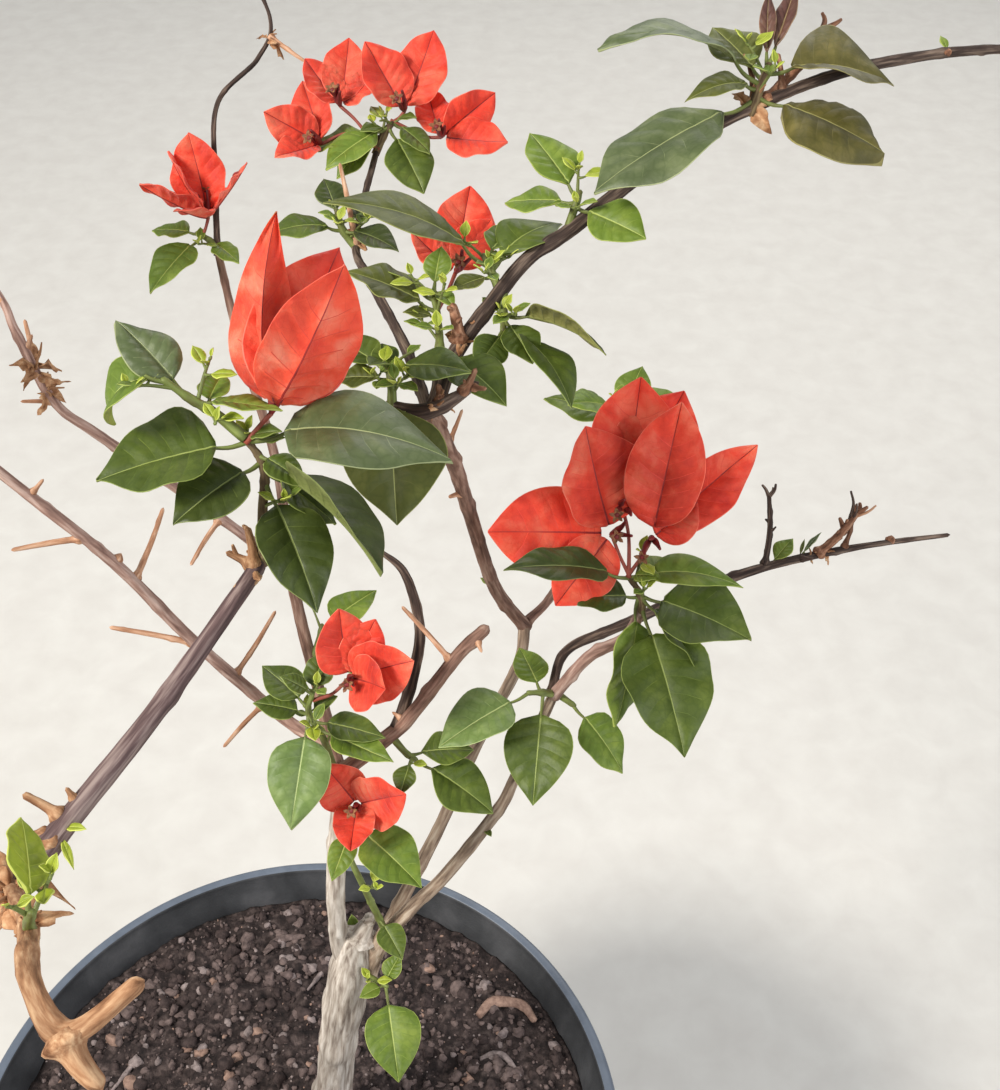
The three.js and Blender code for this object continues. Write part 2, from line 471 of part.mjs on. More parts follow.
function potSolid() {
  const lipFoot = POT_HEIGHT - LIP_DEPTH;
  const lipInside = POT_HEIGHT - LIP_INSIDE_DEPTH;
  const taper = (height) => FOOT_RADIUS + ((RIM_RADIUS - WALL - FOOT_RADIUS) * height) / POT_HEIGHT;
  const profile = [
    [0, 0],
    [FOOT_RADIUS - EDGE_ROUND, 0],
    [FOOT_RADIUS, EDGE_ROUND],
    [taper(lipFoot), lipFoot],
    [RIM_RADIUS - EDGE_ROUND / 2, lipFoot + EDGE_ROUND],
    [RIM_RADIUS, POT_HEIGHT - EDGE_ROUND],
    [RIM_RADIUS - EDGE_ROUND, POT_HEIGHT],
    [RIM_RADIUS - LIP_WIDTH + EDGE_ROUND, POT_HEIGHT],
    [RIM_RADIUS - LIP_WIDTH, POT_HEIGHT - EDGE_ROUND],
    [innerRadius(lipInside), lipInside],
    [innerRadius(FLOOR), FLOOR],
    [0, FLOOR],
  ];
  return potLathe(profile);
}

function potLathe(profile) {
  const points = profile.map(([radius, height]) => new THREE.Vector2(radius, height));
  return new THREE.LatheGeometry(points, POT_SIDES);
}

function innerRadius(height) {
  return FOOT_RADIUS - WALL + ((RIM_RADIUS - 2 * WALL - FOOT_RADIUS) * height) / POT_HEIGHT;
}

// Clods along and across the soil, about 40 mm apart
function soilLump(x, y) {
  const crossed = Math.sin(x / 6.7 + 1) * Math.cos(y / 6.2);
  return SOIL_LUMP * (crossed + 0.6 * Math.sin(y / 8 - x / 10.5));
}

// The soil fills the pot to a little below the rim, mounded and cloddy,
// with a level seat round the trunk's foot
function soilGeometry() {
  const level = POT_HEIGHT - SOIL_BELOW_RIM;
  const foot = FLOOR + GAP;
  const edge = innerRadius(level - SOIL_EDGE_DROP) - GAP;
  const profile = [[0, foot], [innerRadius(foot) - GAP, foot], [edge, level - SOIL_EDGE_DROP]];
  for (const share of SOIL_RINGS) profile.push([edge * share, level]);
  const lathe = potLathe(profile);
  const positions = lathe.attributes.position;
  const [trunkX, trunkY] = LIMBS[0].route[0];
  for (let i = 0; i < positions.count; i += 1) {
    if (positions.getY(i) < level - 0.1) continue;
    const [x, y] = [positions.getX(i), -positions.getZ(i)];
    const fromTrunk = Math.hypot(x - trunkX, y - trunkY);
    const free = THREE.MathUtils.smoothstep(fromTrunk, SEAT_RADIUS, SEAT_BLEND);
    const fall = SOIL_MOUND * (Math.hypot(x, y) / edge) ** 2;
    positions.setY(i, level + free * (soilLump(x, y) - fall));
  }
  return lathe;
}

const COLOURS = {
  pot: { color: '#5c6c7c', roughness: 0.55, metalness: 0 },
  soil: { color: '#4a3d34', roughness: 1, metalness: 0 },
  pale: { color: '#b8ab9b', roughness: 0.85, metalness: 0 },
  bark: { color: '#8f7d6d', roughness: 0.85, metalness: 0 },
  brown: { color: '#7a5f50', roughness: 0.8, metalness: 0 },
  dark: { color: '#4f4038', roughness: 0.85, metalness: 0 },
  dead: { color: '#b98a63', roughness: 0.9, metalness: 0 },
  leaf: { color: '#4f7335', roughness: 0.5, metalness: 0 },
  bract: { color: '#d8452f', roughness: 0.6, metalness: 0 },
};

const bush = new THREE.Group();

function addPiece(name, geometry, colour) {
  const mesh = new THREE.Mesh(geometry, new THREE.MeshStandardMaterial(COLOURS[colour]));
  mesh.name = name;
  bush.add(mesh);
  return mesh;
}

// The lathes of pot and soil stand along +Y, so they are turned upright
addPiece('pot', potSolid(), 'pot').rotation.x = Math.PI / 2;
addPiece('soil', soilGeometry(), 'soil').rotation.x = Math.PI / 2;

// Everything already grown, with its fattened copy that later pieces are cut by
const grown = [];

function cutClear(solid) {
  let clear = solid;
  const box = solid.boundingBox();
  for (const other of grown) {
    const apart = [0, 1, 2].some((k) => box.max[k] < other.box.min[k] || box.min[k] > other.box.max[k]);
    if (!apart) clear = clear.subtract(other.fat);
  }
  return largest(clear.simplify(TIDY));
}

function remember(fat) {
  grown.push({ fat, box: fat.boundingBox() });
}

const limbAxes = [];
for (const limb of LIMBS) {
  const sides = limb.name === 'trunk' ? TRUNK_SIDES : LIMB_SIDES;
  const axis = axisOf(limb.route, limb.radii);
  let solid = limbSolid(axis, sides);
  let fat = limbSolid(axis, sides, GAP);
  for (const spur of SPURS[limb.name] ?? []) {
    solid = solid.add(spurSolid(axis, spur));
    const [place, turn, rise, length, radius] = spur;
    fat = fat.add(spurSolid(axis, [place, turn, rise, length + GAP, radius + GAP * SPUR_CLEAR]));
  }
  if (limb.name === 'trunk') solid = solid.trimByPlane([0, 0, 1], POT_HEIGHT - SOIL_BELOW_RIM + GAP);
  addPiece(limb.name, toGeometry(cutClear(solid)), limb.wood);
  remember(fat);
  limbAxes.push(axis);
}

for (const spray of SPRAYS) {
  const axis = axisOf(spray.stem, STEM_RADII, 1);
  let solid = limbSolid(axis, TWIG_SIDES);
  let fat = limbSolid(axis, TWIG_SIDES, GAP);
  for (const leaf of leavesOf(spray, axis)) {
    if (touchesLimb(leaf, limbAxes)) continue;
    solid = solid.add(leafSolid(leaf));
    fat = fat.add(leafSolid(leaf));
  }
  addPiece(spray.name, toGeometry(cutClear(solid)), 'leaf');
  remember(fat);
}

for (const bloom of BLOOMS) {
  let solid = null;
  for (const head of bloom.heads) {
    const axis = axisOf(head.stalk, STALK_RADII, 1);
    const centre = axis.curve.getPoint(1);
    const stalk = limbSolid(axis, TWIG_SIDES);
    solid = solid ? solid.add(stalk) : stalk;
    for (const bract of head.bracts) solid = solid.add(bractSolid(centre, direction(...head.axis), bract));
  }
  addPiece(bloom.name, toGeometry(cutClear(solid)), 'bract');
  remember(solid);
}

export default bush;
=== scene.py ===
"""The looks of a bougainvillea bush in a round plastic pot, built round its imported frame. The shapes are worked out in
millimetres, as in the part's source, and become metres where a mesh is made."""

import math
from collections import namedtuple

import bpy
import numpy as np
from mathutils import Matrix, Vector


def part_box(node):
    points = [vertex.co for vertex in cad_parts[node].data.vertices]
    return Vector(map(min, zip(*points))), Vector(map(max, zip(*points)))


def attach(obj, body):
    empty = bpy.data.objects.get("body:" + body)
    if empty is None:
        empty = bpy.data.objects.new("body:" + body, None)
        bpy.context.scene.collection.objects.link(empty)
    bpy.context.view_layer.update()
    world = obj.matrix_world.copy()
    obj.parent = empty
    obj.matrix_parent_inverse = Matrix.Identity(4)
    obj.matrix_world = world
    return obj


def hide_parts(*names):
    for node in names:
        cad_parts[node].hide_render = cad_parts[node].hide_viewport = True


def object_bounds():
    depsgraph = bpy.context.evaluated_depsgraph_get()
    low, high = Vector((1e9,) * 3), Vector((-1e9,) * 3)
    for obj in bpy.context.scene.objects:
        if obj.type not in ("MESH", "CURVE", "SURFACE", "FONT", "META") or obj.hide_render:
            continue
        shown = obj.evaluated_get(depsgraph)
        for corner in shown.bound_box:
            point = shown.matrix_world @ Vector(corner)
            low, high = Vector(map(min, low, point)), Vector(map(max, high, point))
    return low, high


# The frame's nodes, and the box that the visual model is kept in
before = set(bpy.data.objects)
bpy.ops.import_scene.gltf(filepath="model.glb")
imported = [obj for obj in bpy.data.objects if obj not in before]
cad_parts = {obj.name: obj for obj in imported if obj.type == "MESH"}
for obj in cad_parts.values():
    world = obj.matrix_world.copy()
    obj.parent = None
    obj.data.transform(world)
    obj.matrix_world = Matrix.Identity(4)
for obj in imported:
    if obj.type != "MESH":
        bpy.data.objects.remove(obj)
cad_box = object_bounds()

MM = 0.001

# The pot and its soil, in mm, with the source's values
POT_HEIGHT = 275.0
RIM_RADIUS = 155.0
FOOT_RADIUS = 112.0
WALL = 3.5
FLOOR = 5.0
LIP_WIDTH = 6.0
LIP_DEPTH = 22.0
LIP_INSIDE_DEPTH = 14.0
SOIL_BELOW_RIM = 12.0
SOIL_MOUND = 4.0
SOIL_LUMP = 2.2
SOIL_EDGE_DROP = 4.0
SOIL_RINGS = (1, 0.93, 0.8, 0.67, 0.54, 0.41, 0.22, 0)
SOIL_RING_SIDES = 36
SEAT_RADIUS = 26.0
SEAT_BLEND = 46.0
GAP = 0.3

# Leaves and bracts as shares of their length, with folds in radians
LEAF_HALF_WIDTH = 0.3
LEAF_STALK = 0.2
LEAF_FOLD = 0.28
BRACT_HALF_WIDTH = 0.37
BRACT_STALK = 0.08
BRACT_FOLD = 0.45
BRACT_CUP = 0.12

# The growth rule: degrees from one leaf to the next, how far a droop pulls a tip back, and clearances in mm
GOLDEN_TURN = 137.5
TURN_SPREAD = 30
DROOP_PULL = 0.35
CLEAR_OF_LIMB = 0.8
STEM_RADII = [1.5, 1.2, 0.8]
BOX_SPARE = 1.0
LOOK_AHEAD = 0.01

# Limbs. A route is a few places along the axis as [x, y, height above the rim].
Limb = namedtuple("Limb", "name wood radii route")
LIMBS = [
    Limb("trunk", "pale", [14, 9.3, 8.6, 8.2, 9.4, 5],
         [[14, 15, -20], [15, 15, -8], [19, 15, 25], [26, 15, 75], [34, 15, 125], [38, 16, 153]]),
    Limb("left_limb", "pale", [4.4, 3.7, 3.5, 3.2],
         [[33, 15, 122], [31, 15, 150], [34, 12, 200], [38, 17, 235], [40, 20, 252]]),
    Limb("bough_front", "bark", [4.3, 3.6, 2.6, 2.4, 2.2, 2.0],
         [[40, 15, 118], [48, 15, 146], [62, 16, 170], [75, 17, 189], [96, 27, 218], [103, 33, 232],
          [117, 47, 263]]),
    Limb("bough_back", "bark", [2.9, 2.6, 2.4, 2.3],
         [[50, 17, 150], [60, 27, 168], [73, 42, 189], [89, 62, 220], [104, 80, 242],
          [107, 92, 254]]),
    Limb("bough_right", "brown", [2.2, 2.1, 1.8],
         [[117, 47, 262], [129, 46, 284], [141, 44, 296], [146, 43, 311]]),
    Limb("bare_right_twig", "dark", [1.7, 1.9, 2.1, 1.5, 0.8],
         [[116, 48, 263], [122, 62, 270], [142, 70, 275], [190, 92, 281], [236, 106, 282],
          [277, 117, 279]]),
    Limb("main_limb", "brown", [2.7, 2.5, 2.6, 2.7],
         [[107, 92, 252], [95, 85, 281], [87, 69, 330], [83, 53, 365], [79, 37, 393],
          [77, 28, 408]]),
    Limb("cross_stub", "dark", [2.4, 2.3, 1.9, 0.9],
         [[65, 25, 411], [76, 20, 414], [84, 22, 417], [91, 26, 420]]),
    Limb("arch_bough_inner", "dark", [2.7, 2.4, 2.2, 1.8],
         [[78, 31, 407], [81, 40, 413], [87, 50, 419], [104, 68, 433], [117, 74, 440], [141, 86, 454],
          [160, 89, 467]]),
    Limb("arch_bough_outer", "dark", [1.8, 1.7, 1.6, 1.3, 0.9],
         [[160, 89, 467], [189, 100, 475], [218, 114, 476], [254, 131, 472], [296, 149, 462],
          [332, 164, 446]]),
    Limb("stub_stem", "dark", [3.0, 2.6, 2.5, 2.2],
         [[39, 20, 250], [59, 28, 264], [66, 29, 273], [82, 36, 295], [93, 40, 306]]),
    Limb("knee_stem", "dark", [2.3, 2.1, 1.8, 0.8],
         [[60, 29, 265], [66, 42, 280], [68, 54, 292], [63, 63, 309], [53, 66, 319]]),
    Limb("back_left_stem", "brown", [2.6, 2.2, 1.8, 1.5],
         [[38, 22, 250], [30, 48, 260], [18, 86, 279], [9, 129, 307], [-6, 165, 336],
          [-16, 194, 362]]),
    Limb("top_twig", "dark", [1.4, 1.0, 0.9, 0.6],
         [[-16, 193, 361], [-17, 214, 384], [-16, 234, 406], [0, 246, 419], [5, 257, 431],
          [-8, 270, 455]]),
    Limb("inner_stem", "dark", [1.9, 1.6, 1.3, 1.1],
         [[76, 31, 406], [68, 60, 408], [55, 95, 410], [48, 120, 408], [50, 147, 414],
          [53, 166, 420]]),
    Limb("thorny_branch_upper", "brown", [2.1, 1.8, 1.6, 0.9],
         [[14, 93, 284], [-4, 90, 309], [-42, 88, 351], [-56, 89, 366], [-67, 100, 387],
          [-74, 110, 397], [-100, 132, 428]]),
    Limb("thorny_branch_lower", "brown", [2.4, 2.2, 2.0, 1.7, 0.9],
         [[34, 30, 252], [15, 42, 257], [-10, 40, 298], [-31, 40, 336], [-54, 41, 366],
          [-84, 44, 402], [-108, 46, 424]]),
    Limb("cane_foot", "brown", [4.6, 4.2, 4.0, 3.8],
         [[19, 13, 0], [-8, -18, 22], [-40, -50, 62], [-65, -85, 150], [-74, -115, 230],
          [-72, -131, 290]]),
    Limb("cane_arch", "brown", [3.8, 3.7, 3.4, 2.8, 2.2],
         [[-72, -131, 290], [-58, -136, 335], [-36, -131, 366], [-17, -120, 379], [-6, -102, 384],
          [14, -70, 393], [35, -32, 405]]),
    Limb("back_stem", "brown", [1.9, 1.6, 1.3],
         [[108, 93, 254], [119, 108, 256], [136, 150, 259], [148, 186, 267]]),
    Limb("dead_fork", "dead", [1.8, 2.1, 2.2, 1.6],
         [[-14, -117, 383], [2, -142, 409], [14, -168, 431], [23, -178, 431], [36, -172, 438]]),
]

# Thorns and dead spurs: [place along the limb 0 to 1, turn, rise, length, radius]
SPURS = {
  "trunk": [[0.93, 20, 60, 15, 3.0]],
  "cross_stub": [[0.75, 30, 55, 9, 0.8]],
  "main_limb": [[0.72, 40, 60, 13, 0.5], [0.5, -118, 29, 11, 0.7]],
  "arch_bough_inner": [[0.3, 110, 62, 13, 1.3]],
  "arch_bough_outer": [[0.1, 50, 22, 34, 1.0], [0.08, 95, 39, 15, 0.7]],
  "stub_stem": [[0.72, 160, 50, 28, 0.6], [0.9, -70, -24, 6, 0.6]],
  "bare_right_twig": [[0.64, 83, 37, 29, 0.9], [0.73, 35, 32, 24, 1.3], [0.78, 70, 35, 17, 0.7]],
  "thorny_branch_upper": [[0.18, -111, -10, 23, 0.7], [0.5, -171, 7, 11, 0.6], [0.58, 108, 25, 20, 0.7]],
  "thorny_branch_lower": [[0.66, 38, 34, 7, 0.6], [0.56, -164, 1, 23, 0.8], [0.46, 73, 25, 28, 0.8],
    [0.33, -178, 18, 30, 0.8], [0.26, 54, 30, 28, 0.7], [0.2, -130, -15, 22, 0.7]],
  "cane_arch": [[0.99, 160, 20, 9, 0.9], [0.68, 163, 33, 12, 1.0]],
  "inner_stem": [[0.6, 108, 56, 28, 0.7]],
  "top_twig": [[0.72, -30, -22, 18, 0.5]],
  "dead_fork": [[0.72, -45, -30, 12, 1.8]]
}

# Sprays. Each leaf is [place along the stem, turn, rise, length, droop, roll].
# "more" leaves are added by the seeded rule, "size" mm long. A spray's seed comes from its place in the list.
Spray = namedtuple("Spray", "name stem more size leaves")
SPRAYS = [
    Spray("front_spray", [[35, -32, 405], [36, -27, 418], [37, -23, 429], [33, -21, 437]], 1, 11,
          [[0.95, -165, 2, 40, 0.1, 0], [0.72, -138, 0, 29, 0.15, 0], [0.95, -4, 28, 53, 0.6, 0],
           [0.72, -31, -4, 47, 0.25, -45], [0.55, -60, -20, 39, 0.15, -10], [0.65, -4, -40, 26, 0.1, 0],
           [0.8, -33, 4, 16, 0.3, 0]]),
    Spray("left_curl_spray", [[32, -21, 438], [26, -19, 443], [20, -18, 447], [14, -17, 452]], 0, 10,
          [[0.95, -170, 34, 24, 0.9, 0], [0.7, 140, 38, 27, 0.1, 0], [0.45, 79, 15, 14, 0.1, 0],
           [0.6, -4, 4, 23, 0.1, -25]]),
    Spray("centre_spray", [[66, 25, 413], [66, 28, 418], [65, 31, 422]], 2, 12,
          [[0.5, -88, -12, 44, 0.35, 0], [0.8, 140, 15, 24, 0.2, 0], [0.9, -18, 28, 27, 0.25, 0],
           [0.6, 170, 6, 18, 0.2, 0]]),
    Spray("centre_shoot", [[79, 38, 414], [79, 50, 420], [77, 63, 427]], 2, 11,
          [[0.75, 172, 38, 31, 0.2, 0], [0.88, 138, 16, 28, 0.2, 40], [0.98, 81, 44, 15, 0.1, 0],
           [0.35, -20, 22, 32, 0.4, 0], [0.2, -46, 24, 30, 0.4, 0]]),
    Spray("arch_spray_low", [[97, 61, 427], [95, 66, 430], [92, 70, 435]], 0, 9,
          [[0.7, -177, 53, 56, 0.4, 0], [0.7, 36, 28, 34, 0.35, 0], [0.9, 60, 20, 20, 0.2, 0],
           [0.5, -150, 10, 15, 0.2, 0]]),
    Spray("arch_spray_under", [[98, 62, 428], [98, 56, 423], [98, 51, 420]], 0, 9,
          [[0.5, -24, 16, 39, 0.3, -50], [0.6, -64, 2, 21, 0.2, 0], [0.95, -42, 14, 37, 0.45, -35],
           [0.95, -109, 4, 19, 0.2, -30]]),
    Spray("arch_spray_mid", [[117, 74, 440], [119, 78, 445], [121, 81, 450]], 0, 9,
          [[0.8, 122, 30, 28, 0.1, 0], [0.6, -45, 8, 27, 0.2, 20],
           [0.7, 158, -2, 24, 0.1, 0]]),
    Spray("arch_tip_spray", [[171, 92, 470], [173, 95, 475], [176, 100, 481]], 0, 12,
          [[0.6, -179, 54, 56, 0.6, 25], [0.3, -150, -4, 60, 0.15, 0], [0.5, -167, 36, 23, 0.6, 0],
           [0.8, -1, 22, 40, 0.4, 0], [0.35, -30, 0, 43, 0.15, 0], [0.9, 90, 42, 24, 0.0, 0],
           [0.98, 65, 34, 29, 0.0, 0], [0.7, 120, 22, 27, 0.1, 0]]),
    Spray("inner_spray", [[48, 120, 408], [44, 122, 413], [42, 124, 420]], 0, 10,
          [[0.5, -166, 30, 27, 0.4, 0], [0.8, 109, 27, 19, 0.1, 0], [0.5, -28, 16, 23, 0.3, 0],
           [0.7, 40, 8, 20, 0.2, 0]]),
    Spray("top_spray", [[53, 166, 420], [56, 170, 425], [59, 172, 428]], 2, 12,
          [[0.8, -138, 0, 31, 0.2, 0], [0.95, -39, -4, 20, 0.2, 0], [0.7, -60, -14, 31, 0.2, 0],
           [0.4, 178, 0, 30, 0.2, 0], [0.4, -150, -16, 24, 0.2, 0]]),
    Spray("left_back_spray", [[-15, 194, 362], [-19, 196, 366], [-24, 197, 369]], 0, 11,
          [[0.8, -125, -8, 34, 0.2, 0], [0.9, -10, 30, 20, 0.3, 0], [0.5, -40, 0, 18, 0.2, 0],
           [0.9, 165, 8, 22, 0.2, 0]]),
    Spray("right_spray", [[146, 43, 310], [145, 45, 317], [141, 47, 323]], 1, 11,
          [[0.15, -72, -20, 56, 0.12, 0], [0.45, -29, 10, 43, 0.2, 0], [0.4, -172, 16, 27, 0.2, 0],
           [0.95, -162, 37, 53, 0.2, 0], [0.9, -14, 16, 39, 0.4, 0], [0.85, 35, 0, 25, 0.2, 0],
           [0.5, -40, -26, 38, 0.1, -30], [0.5, -106, -30, 50, 0.1, -50]]),
    Spray("low_spray", [[37, 20, 252], [34, 22, 268], [30, 23, 280], [32, 24, 289]], 2, 12,
          [[0.66, -97, -26, 42, 0.15, 0], [0.75, 140, 26, 25, 0.2, 0], [0.65, 175, 22, 21, 0.2, 0],
           [0.95, 76, 26, 19, 0.1, 0], [0.55, -24, -12, 28, 0.2, 0], [0.45, -52, -4, 32, 0.3, 0]]),
    Spray("low_front_spray", [[50, 13, 160], [45, 8, 195], [41, 6, 222], [44, 6, 240]], 0, 9,
          [[0.22, 165, 5, 20, 0.1, 0], [0.08, -55, -6, 20, 0.2, 0], [0.97, -40, 0, 36, 0.25, 0],
           [0.95, -105, -8, 22, 0.1, 0]]),
    Spray("stub_spray", [[58, 27, 262], [63, 23, 258], [67, 21, 256]], 0, 9,
          [[0.9, -28, -6, 36, 0.2, 0], [0.6, 8, 12, 25, 0.2, 0], [0.8, -110, -8, 15, 0.2, 0]]),
    Spray("middle_spray", [[116, 46, 264], [112, 43, 268], [107, 41, 270]], 0, 10,
          [[0.95, -146, 4, 41, 0.15, 0], [0.4, -97, -22, 43, 0.12, 0], [0.5, 110, 18, 22, 0.1, 0]]),
    Spray("middle_back_spray", [[118, 48, 262], [122, 46, 260], [125, 45, 258]], 0, 9,
          [[0.8, -40, -24, 34, 0.2, 0]]),
    Spray("stem_spray", [[27, 62, 267], [29, 67, 272], [30, 70, 276]], 0, 10,
          [[0.8, 43, 14, 28, 0.1, 0], [0.7, -50, -4, 24, 0.1, 0]]),
    Spray("trunk_shoot", [[38, 13, 126], [46, 6, 131], [51, 2, 133]], 0, 8,
          [[0.9, -79, -20, 39, 0.1, 0], [0.85, -150, 10, 12, 0.1, 0], [0.8, 54, 40, 15, 0.1, 0]]),
    Spray("young_cane_spray", [[6, -149, 415], [7, -150, 421], [9, -151, 426]], 0, 10,
          [[0.8, 100, 14, 22, 0.1, 60]]),
    Spray("upper_branch_tip", [[-99, 131, 427], [-104, 136, 433], [-108, 142, 441]], 6, 24,
          []),
    Spray("lower_branch_tip", [[-107, 46, 423], [-114, 46, 429], [-120, 45, 437]], 5, 24,
          []),
    Spray("arch_end_spray", [[330, 163, 447], [338, 167, 442], [345, 171, 440]], 6, 32,
          []),
    Spray("back_spray", [[147, 184, 266], [150, 192, 272], [151, 199, 280]], 6, 32,
          []),
    Spray("cane_foot_spray", [[-66, -87, 152], [-76, -86, 160], [-83, -84, 170]], 5, 32,
          []),
]

# Blooms. Each head has a stalk route, then the bracts round its end: [turn, rise, length, roll].
Head = namedtuple("Head", "stalk axis bracts")
BLOOMS = {
    "bloom_front": [
        Head([[34, -22, 437], [37, -20, 440], [40, -19, 443]], [70, 48],
             [[95, 52, 47, 55], [40, 56, 36, 0], [70, 30, 46, 0], [98, 42, 40, 0]])],
    "bloom_right": [
        Head([[141, 47, 324], [138, 52, 328], [135, 57, 334]], [-70, 45],
             [[-140, -38, 30, 0], [-176, 6, 42, 0], [122, 55, 37, 0]]),
        Head([[141, 47, 324], [141, 57, 333], [139, 65, 339]], [-90, 40],
             [[92, 48, 42, 0], [52, 40, 43, 0]]),
        Head([[141, 47, 324], [146, 52, 329], [149, 56, 333]], [-100, 30],
             [[70, 58, 46, 0], [38, 24, 46, 0], [0, 4, 20, 0]])],
    "bloom_arch": [
        Head([[78, 57, 423], [81, 72, 421], [83, 84, 420]], [-60, 60],
             [[82, 32, 28, 0], [52, 28, 20, 0], [160, 36, 18, 0]])],
    "bloom_top_right": [
        Head([[59, 172, 428], [61, 173, 429], [63, 174, 431]], [-90, 60],
             [[62, 40, 29, 0], [138, 46, 26, 0], [100, 30, 23, 0]]),
        Head([[59, 172, 428], [70, 169, 424], [76, 168, 424]], [-90, 60],
             [[-14, 0, 24, 0], [30, 30, 24, 50], [110, 30, 19, 0]])],
    "bloom_top_left": [
        Head([[53, 166, 421], [43, 171, 424], [33, 169, 421]], [-120, 50],
             [[176, 30, 22, 0], [112, 46, 22, 0], [-140, 2, 20, 0]]),
        Head([[53, 166, 421], [46, 172, 428], [40, 176, 432]], [-90, 70],
             [[80, 38, 24, 0], [140, 34, 20, 0], [20, 30, 18, 0]])],
    "bloom_left_back": [
        Head([[-21, 197, 369], [-20, 198, 371], [-19, 200, 374]], [110, 60],
             [[105, 50, 32, 0], [-165, 30, 28, 0], [40, 34, 26, 0], [150, 48, 28, 0],
              [-110, 30, 22, 0]])],
    "bloom_low_upper": [
        Head([[33, 24, 286], [39, 25, 288], [45, 27, 294]], [-80, 40],
             [[108, 56, 24, 0], [2, 22, 24, 0], [55, 50, 22, 0], [-50, 4, 17, 0]])],
    "bloom_low_front": [
        Head([[44, 6, 238], [45, 6, 243], [46, 7, 249]], [-90, 35],
             [[150, 50, 19, 0], [-8, 30, 21, 0], [-95, -12, 18, 0]])],
}

# How each limb looks: sides round it, depth of its relief as a share of its radius, mm between its nodes
BARKS = {
    "pale": (40, 0.075, 46),
    "bark": (22, 0.07, 30),
    "brown": (18, 0.07, 26),
    "dark": (18, 0.085, 22),
    "cane": (28, 0.07, 44),
    "rosy": (20, 0.06, 24),
    "dead": (18, 0.12, 20),
}
TRUNK_SIDES = 88

# Limbs that look otherwise than their wood in the source
LIMB_LOOKS = {
    "cane_foot": "cane",
    "cane_arch": "cane",
    "thorny_branch_upper": "rosy",
    "thorny_branch_lower": "rosy",
    "bough_right": "rosy",
    "stub_stem": "brown",
}

# The look of the spurs on each limb, where they aren't thorns
SPUR_LOOKS = {
    "trunk": "pale",
    "bare_right_twig": "dark",
    "arch_bough_inner": "rust",
    "arch_bough_outer": "rust",
    "cross_stub": "rust",
    "cane_arch": "dead",
    "dead_fork": "dead",
}

# Spurs are a little thicker than the source's
SPUR_SWELL = 1.45
THORN_RADIUS = 1.05

# Further stubs and spikes, too small for the source, written as its spurs are
FINER_SPURS = {
    "cane_arch": [[0.985, 102, 52, 12, 1.0], [0.98, -130, 0, 6, 0.5], [0.985, -60, 15, 5, 0.5], [0.97, 30, 10, 5, 0.5],
                  [0.66, -165, 15, 9, 0.7], [0.7, 140, 60, 6, 0.6]],
    "thorny_branch_upper": [[0.8, 150, 40, 7, 0.5], [0.62, 60, 40, 6, 0.6]],
    "thorny_branch_lower": [[0.5, 60, 20, 4, 0.9]],
    "bare_right_twig": [[0.7, -20, 20, 6, 0.7], [0.87, 60, 30, 3, 0.9], [0.55, -150, 30, 5, 0.7]],
    "arch_bough_outer": [[0.14, 100, 50, 12, 0.7], [0.3, 60, 40, 4, 0.6], [0.5, -120, 20, 4, 0.6]],
    "arch_bough_inner": [[0.55, 120, 40, 4, 0.6], [0.8, 80, 40, 4, 0.6]],
    "cross_stub": [[0.5, 100, 30, 7, 0.9], [0.9, -40, 20, 6, 0.6]],
    "stub_stem": [[0.4, 150, 20, 6, 0.6]],
}

# Thin twigs out of dead stubs, by limb and number: share along the stub, turn, rise, length, radius, look
SPUR_TWIGS = {
    ("bare_right_twig", 1): [[0.72, 83, 47, 13, 0.62, "dark"], [0.8, 60, 60, 7, 0.5, "dark"],
                             [0.86, 20, 20, 10, 0.48, "thorn"], [0.6, 120, 50, 5, 0.9, "rust"]],
}

# Leaf tones of each spray, from its foot to its tip
TONES = {
    "front_spray": ["deep", "deep", "mid"],
    "left_curl_spray": ["mid", "fresh"],
    "centre_spray": ["olive", "mid"],
    "centre_shoot": ["mid", "olive", "fresh"],
    "arch_spray_low": ["olive", "mid"],
    "arch_spray_under": ["olive", "mid"],
    "arch_spray_mid": ["olive", "fresh"],
    "arch_tip_spray": ["olive", "olive", "plum"],
    "inner_spray": ["mid", "deep"],
    "top_spray": ["fresh", "mid"],
    "left_back_spray": ["young", "fresh"],
    "right_spray": ["mid", "deep", "fresh"],
    "low_spray": ["fresh", "mid"],
    "low_front_spray": ["mid", "fresh"],
    "stub_spray": ["fresh", "mid"],
    "middle_spray": ["mid", "fresh"],
    "stem_spray": ["fresh"],
    "trunk_shoot": ["mid", "fresh"],
    "young_cane_spray": ["young"],
}
USUAL_TONES = ["mid", "fresh"]

# Short side twigs with tiny leaves that each spray carries besides its own leaves
FINER_TWIGS = {
    "centre_spray": 6,
    "centre_shoot": 5,
    "arch_spray_low": 4,
    "arch_spray_under": 3,
    "top_spray": 5,
    "inner_spray": 4,
    "low_spray": 4,
    "left_curl_spray": 3,
    "left_back_spray": 4,
    "young_cane_spray": 2,
}
USUAL_FINER_TWIGS = 2
TWIG_LEAVES = 4
TWIG_LEAF_LENGTH = 7.5

# Tufts of curled dead leaves: limb, place along it, how many, mm long
TUFTS = [
    ["thorny_branch_upper", 0.58, 9, 9],
    ["thorny_branch_upper", 0.52, 5, 8],
    ["thorny_branch_upper", 0.95, 3, 7],
    ["cane_arch", 0.1, 6, 12],
    ["dead_fork", 0.04, 8, 14],
    ["dead_fork", 0.3, 4, 11],
    ["arch_bough_outer", 0.07, 4, 8],
    ["arch_bough_inner", 0.32, 4, 7],
    ["bare_right_twig", 0.73, 3, 5],
    ["top_twig", 0.7, 3, 8],
    ["cross_stub", 0.5, 3, 6],
    ["inner_stem", 0.62, 3, 6],
]


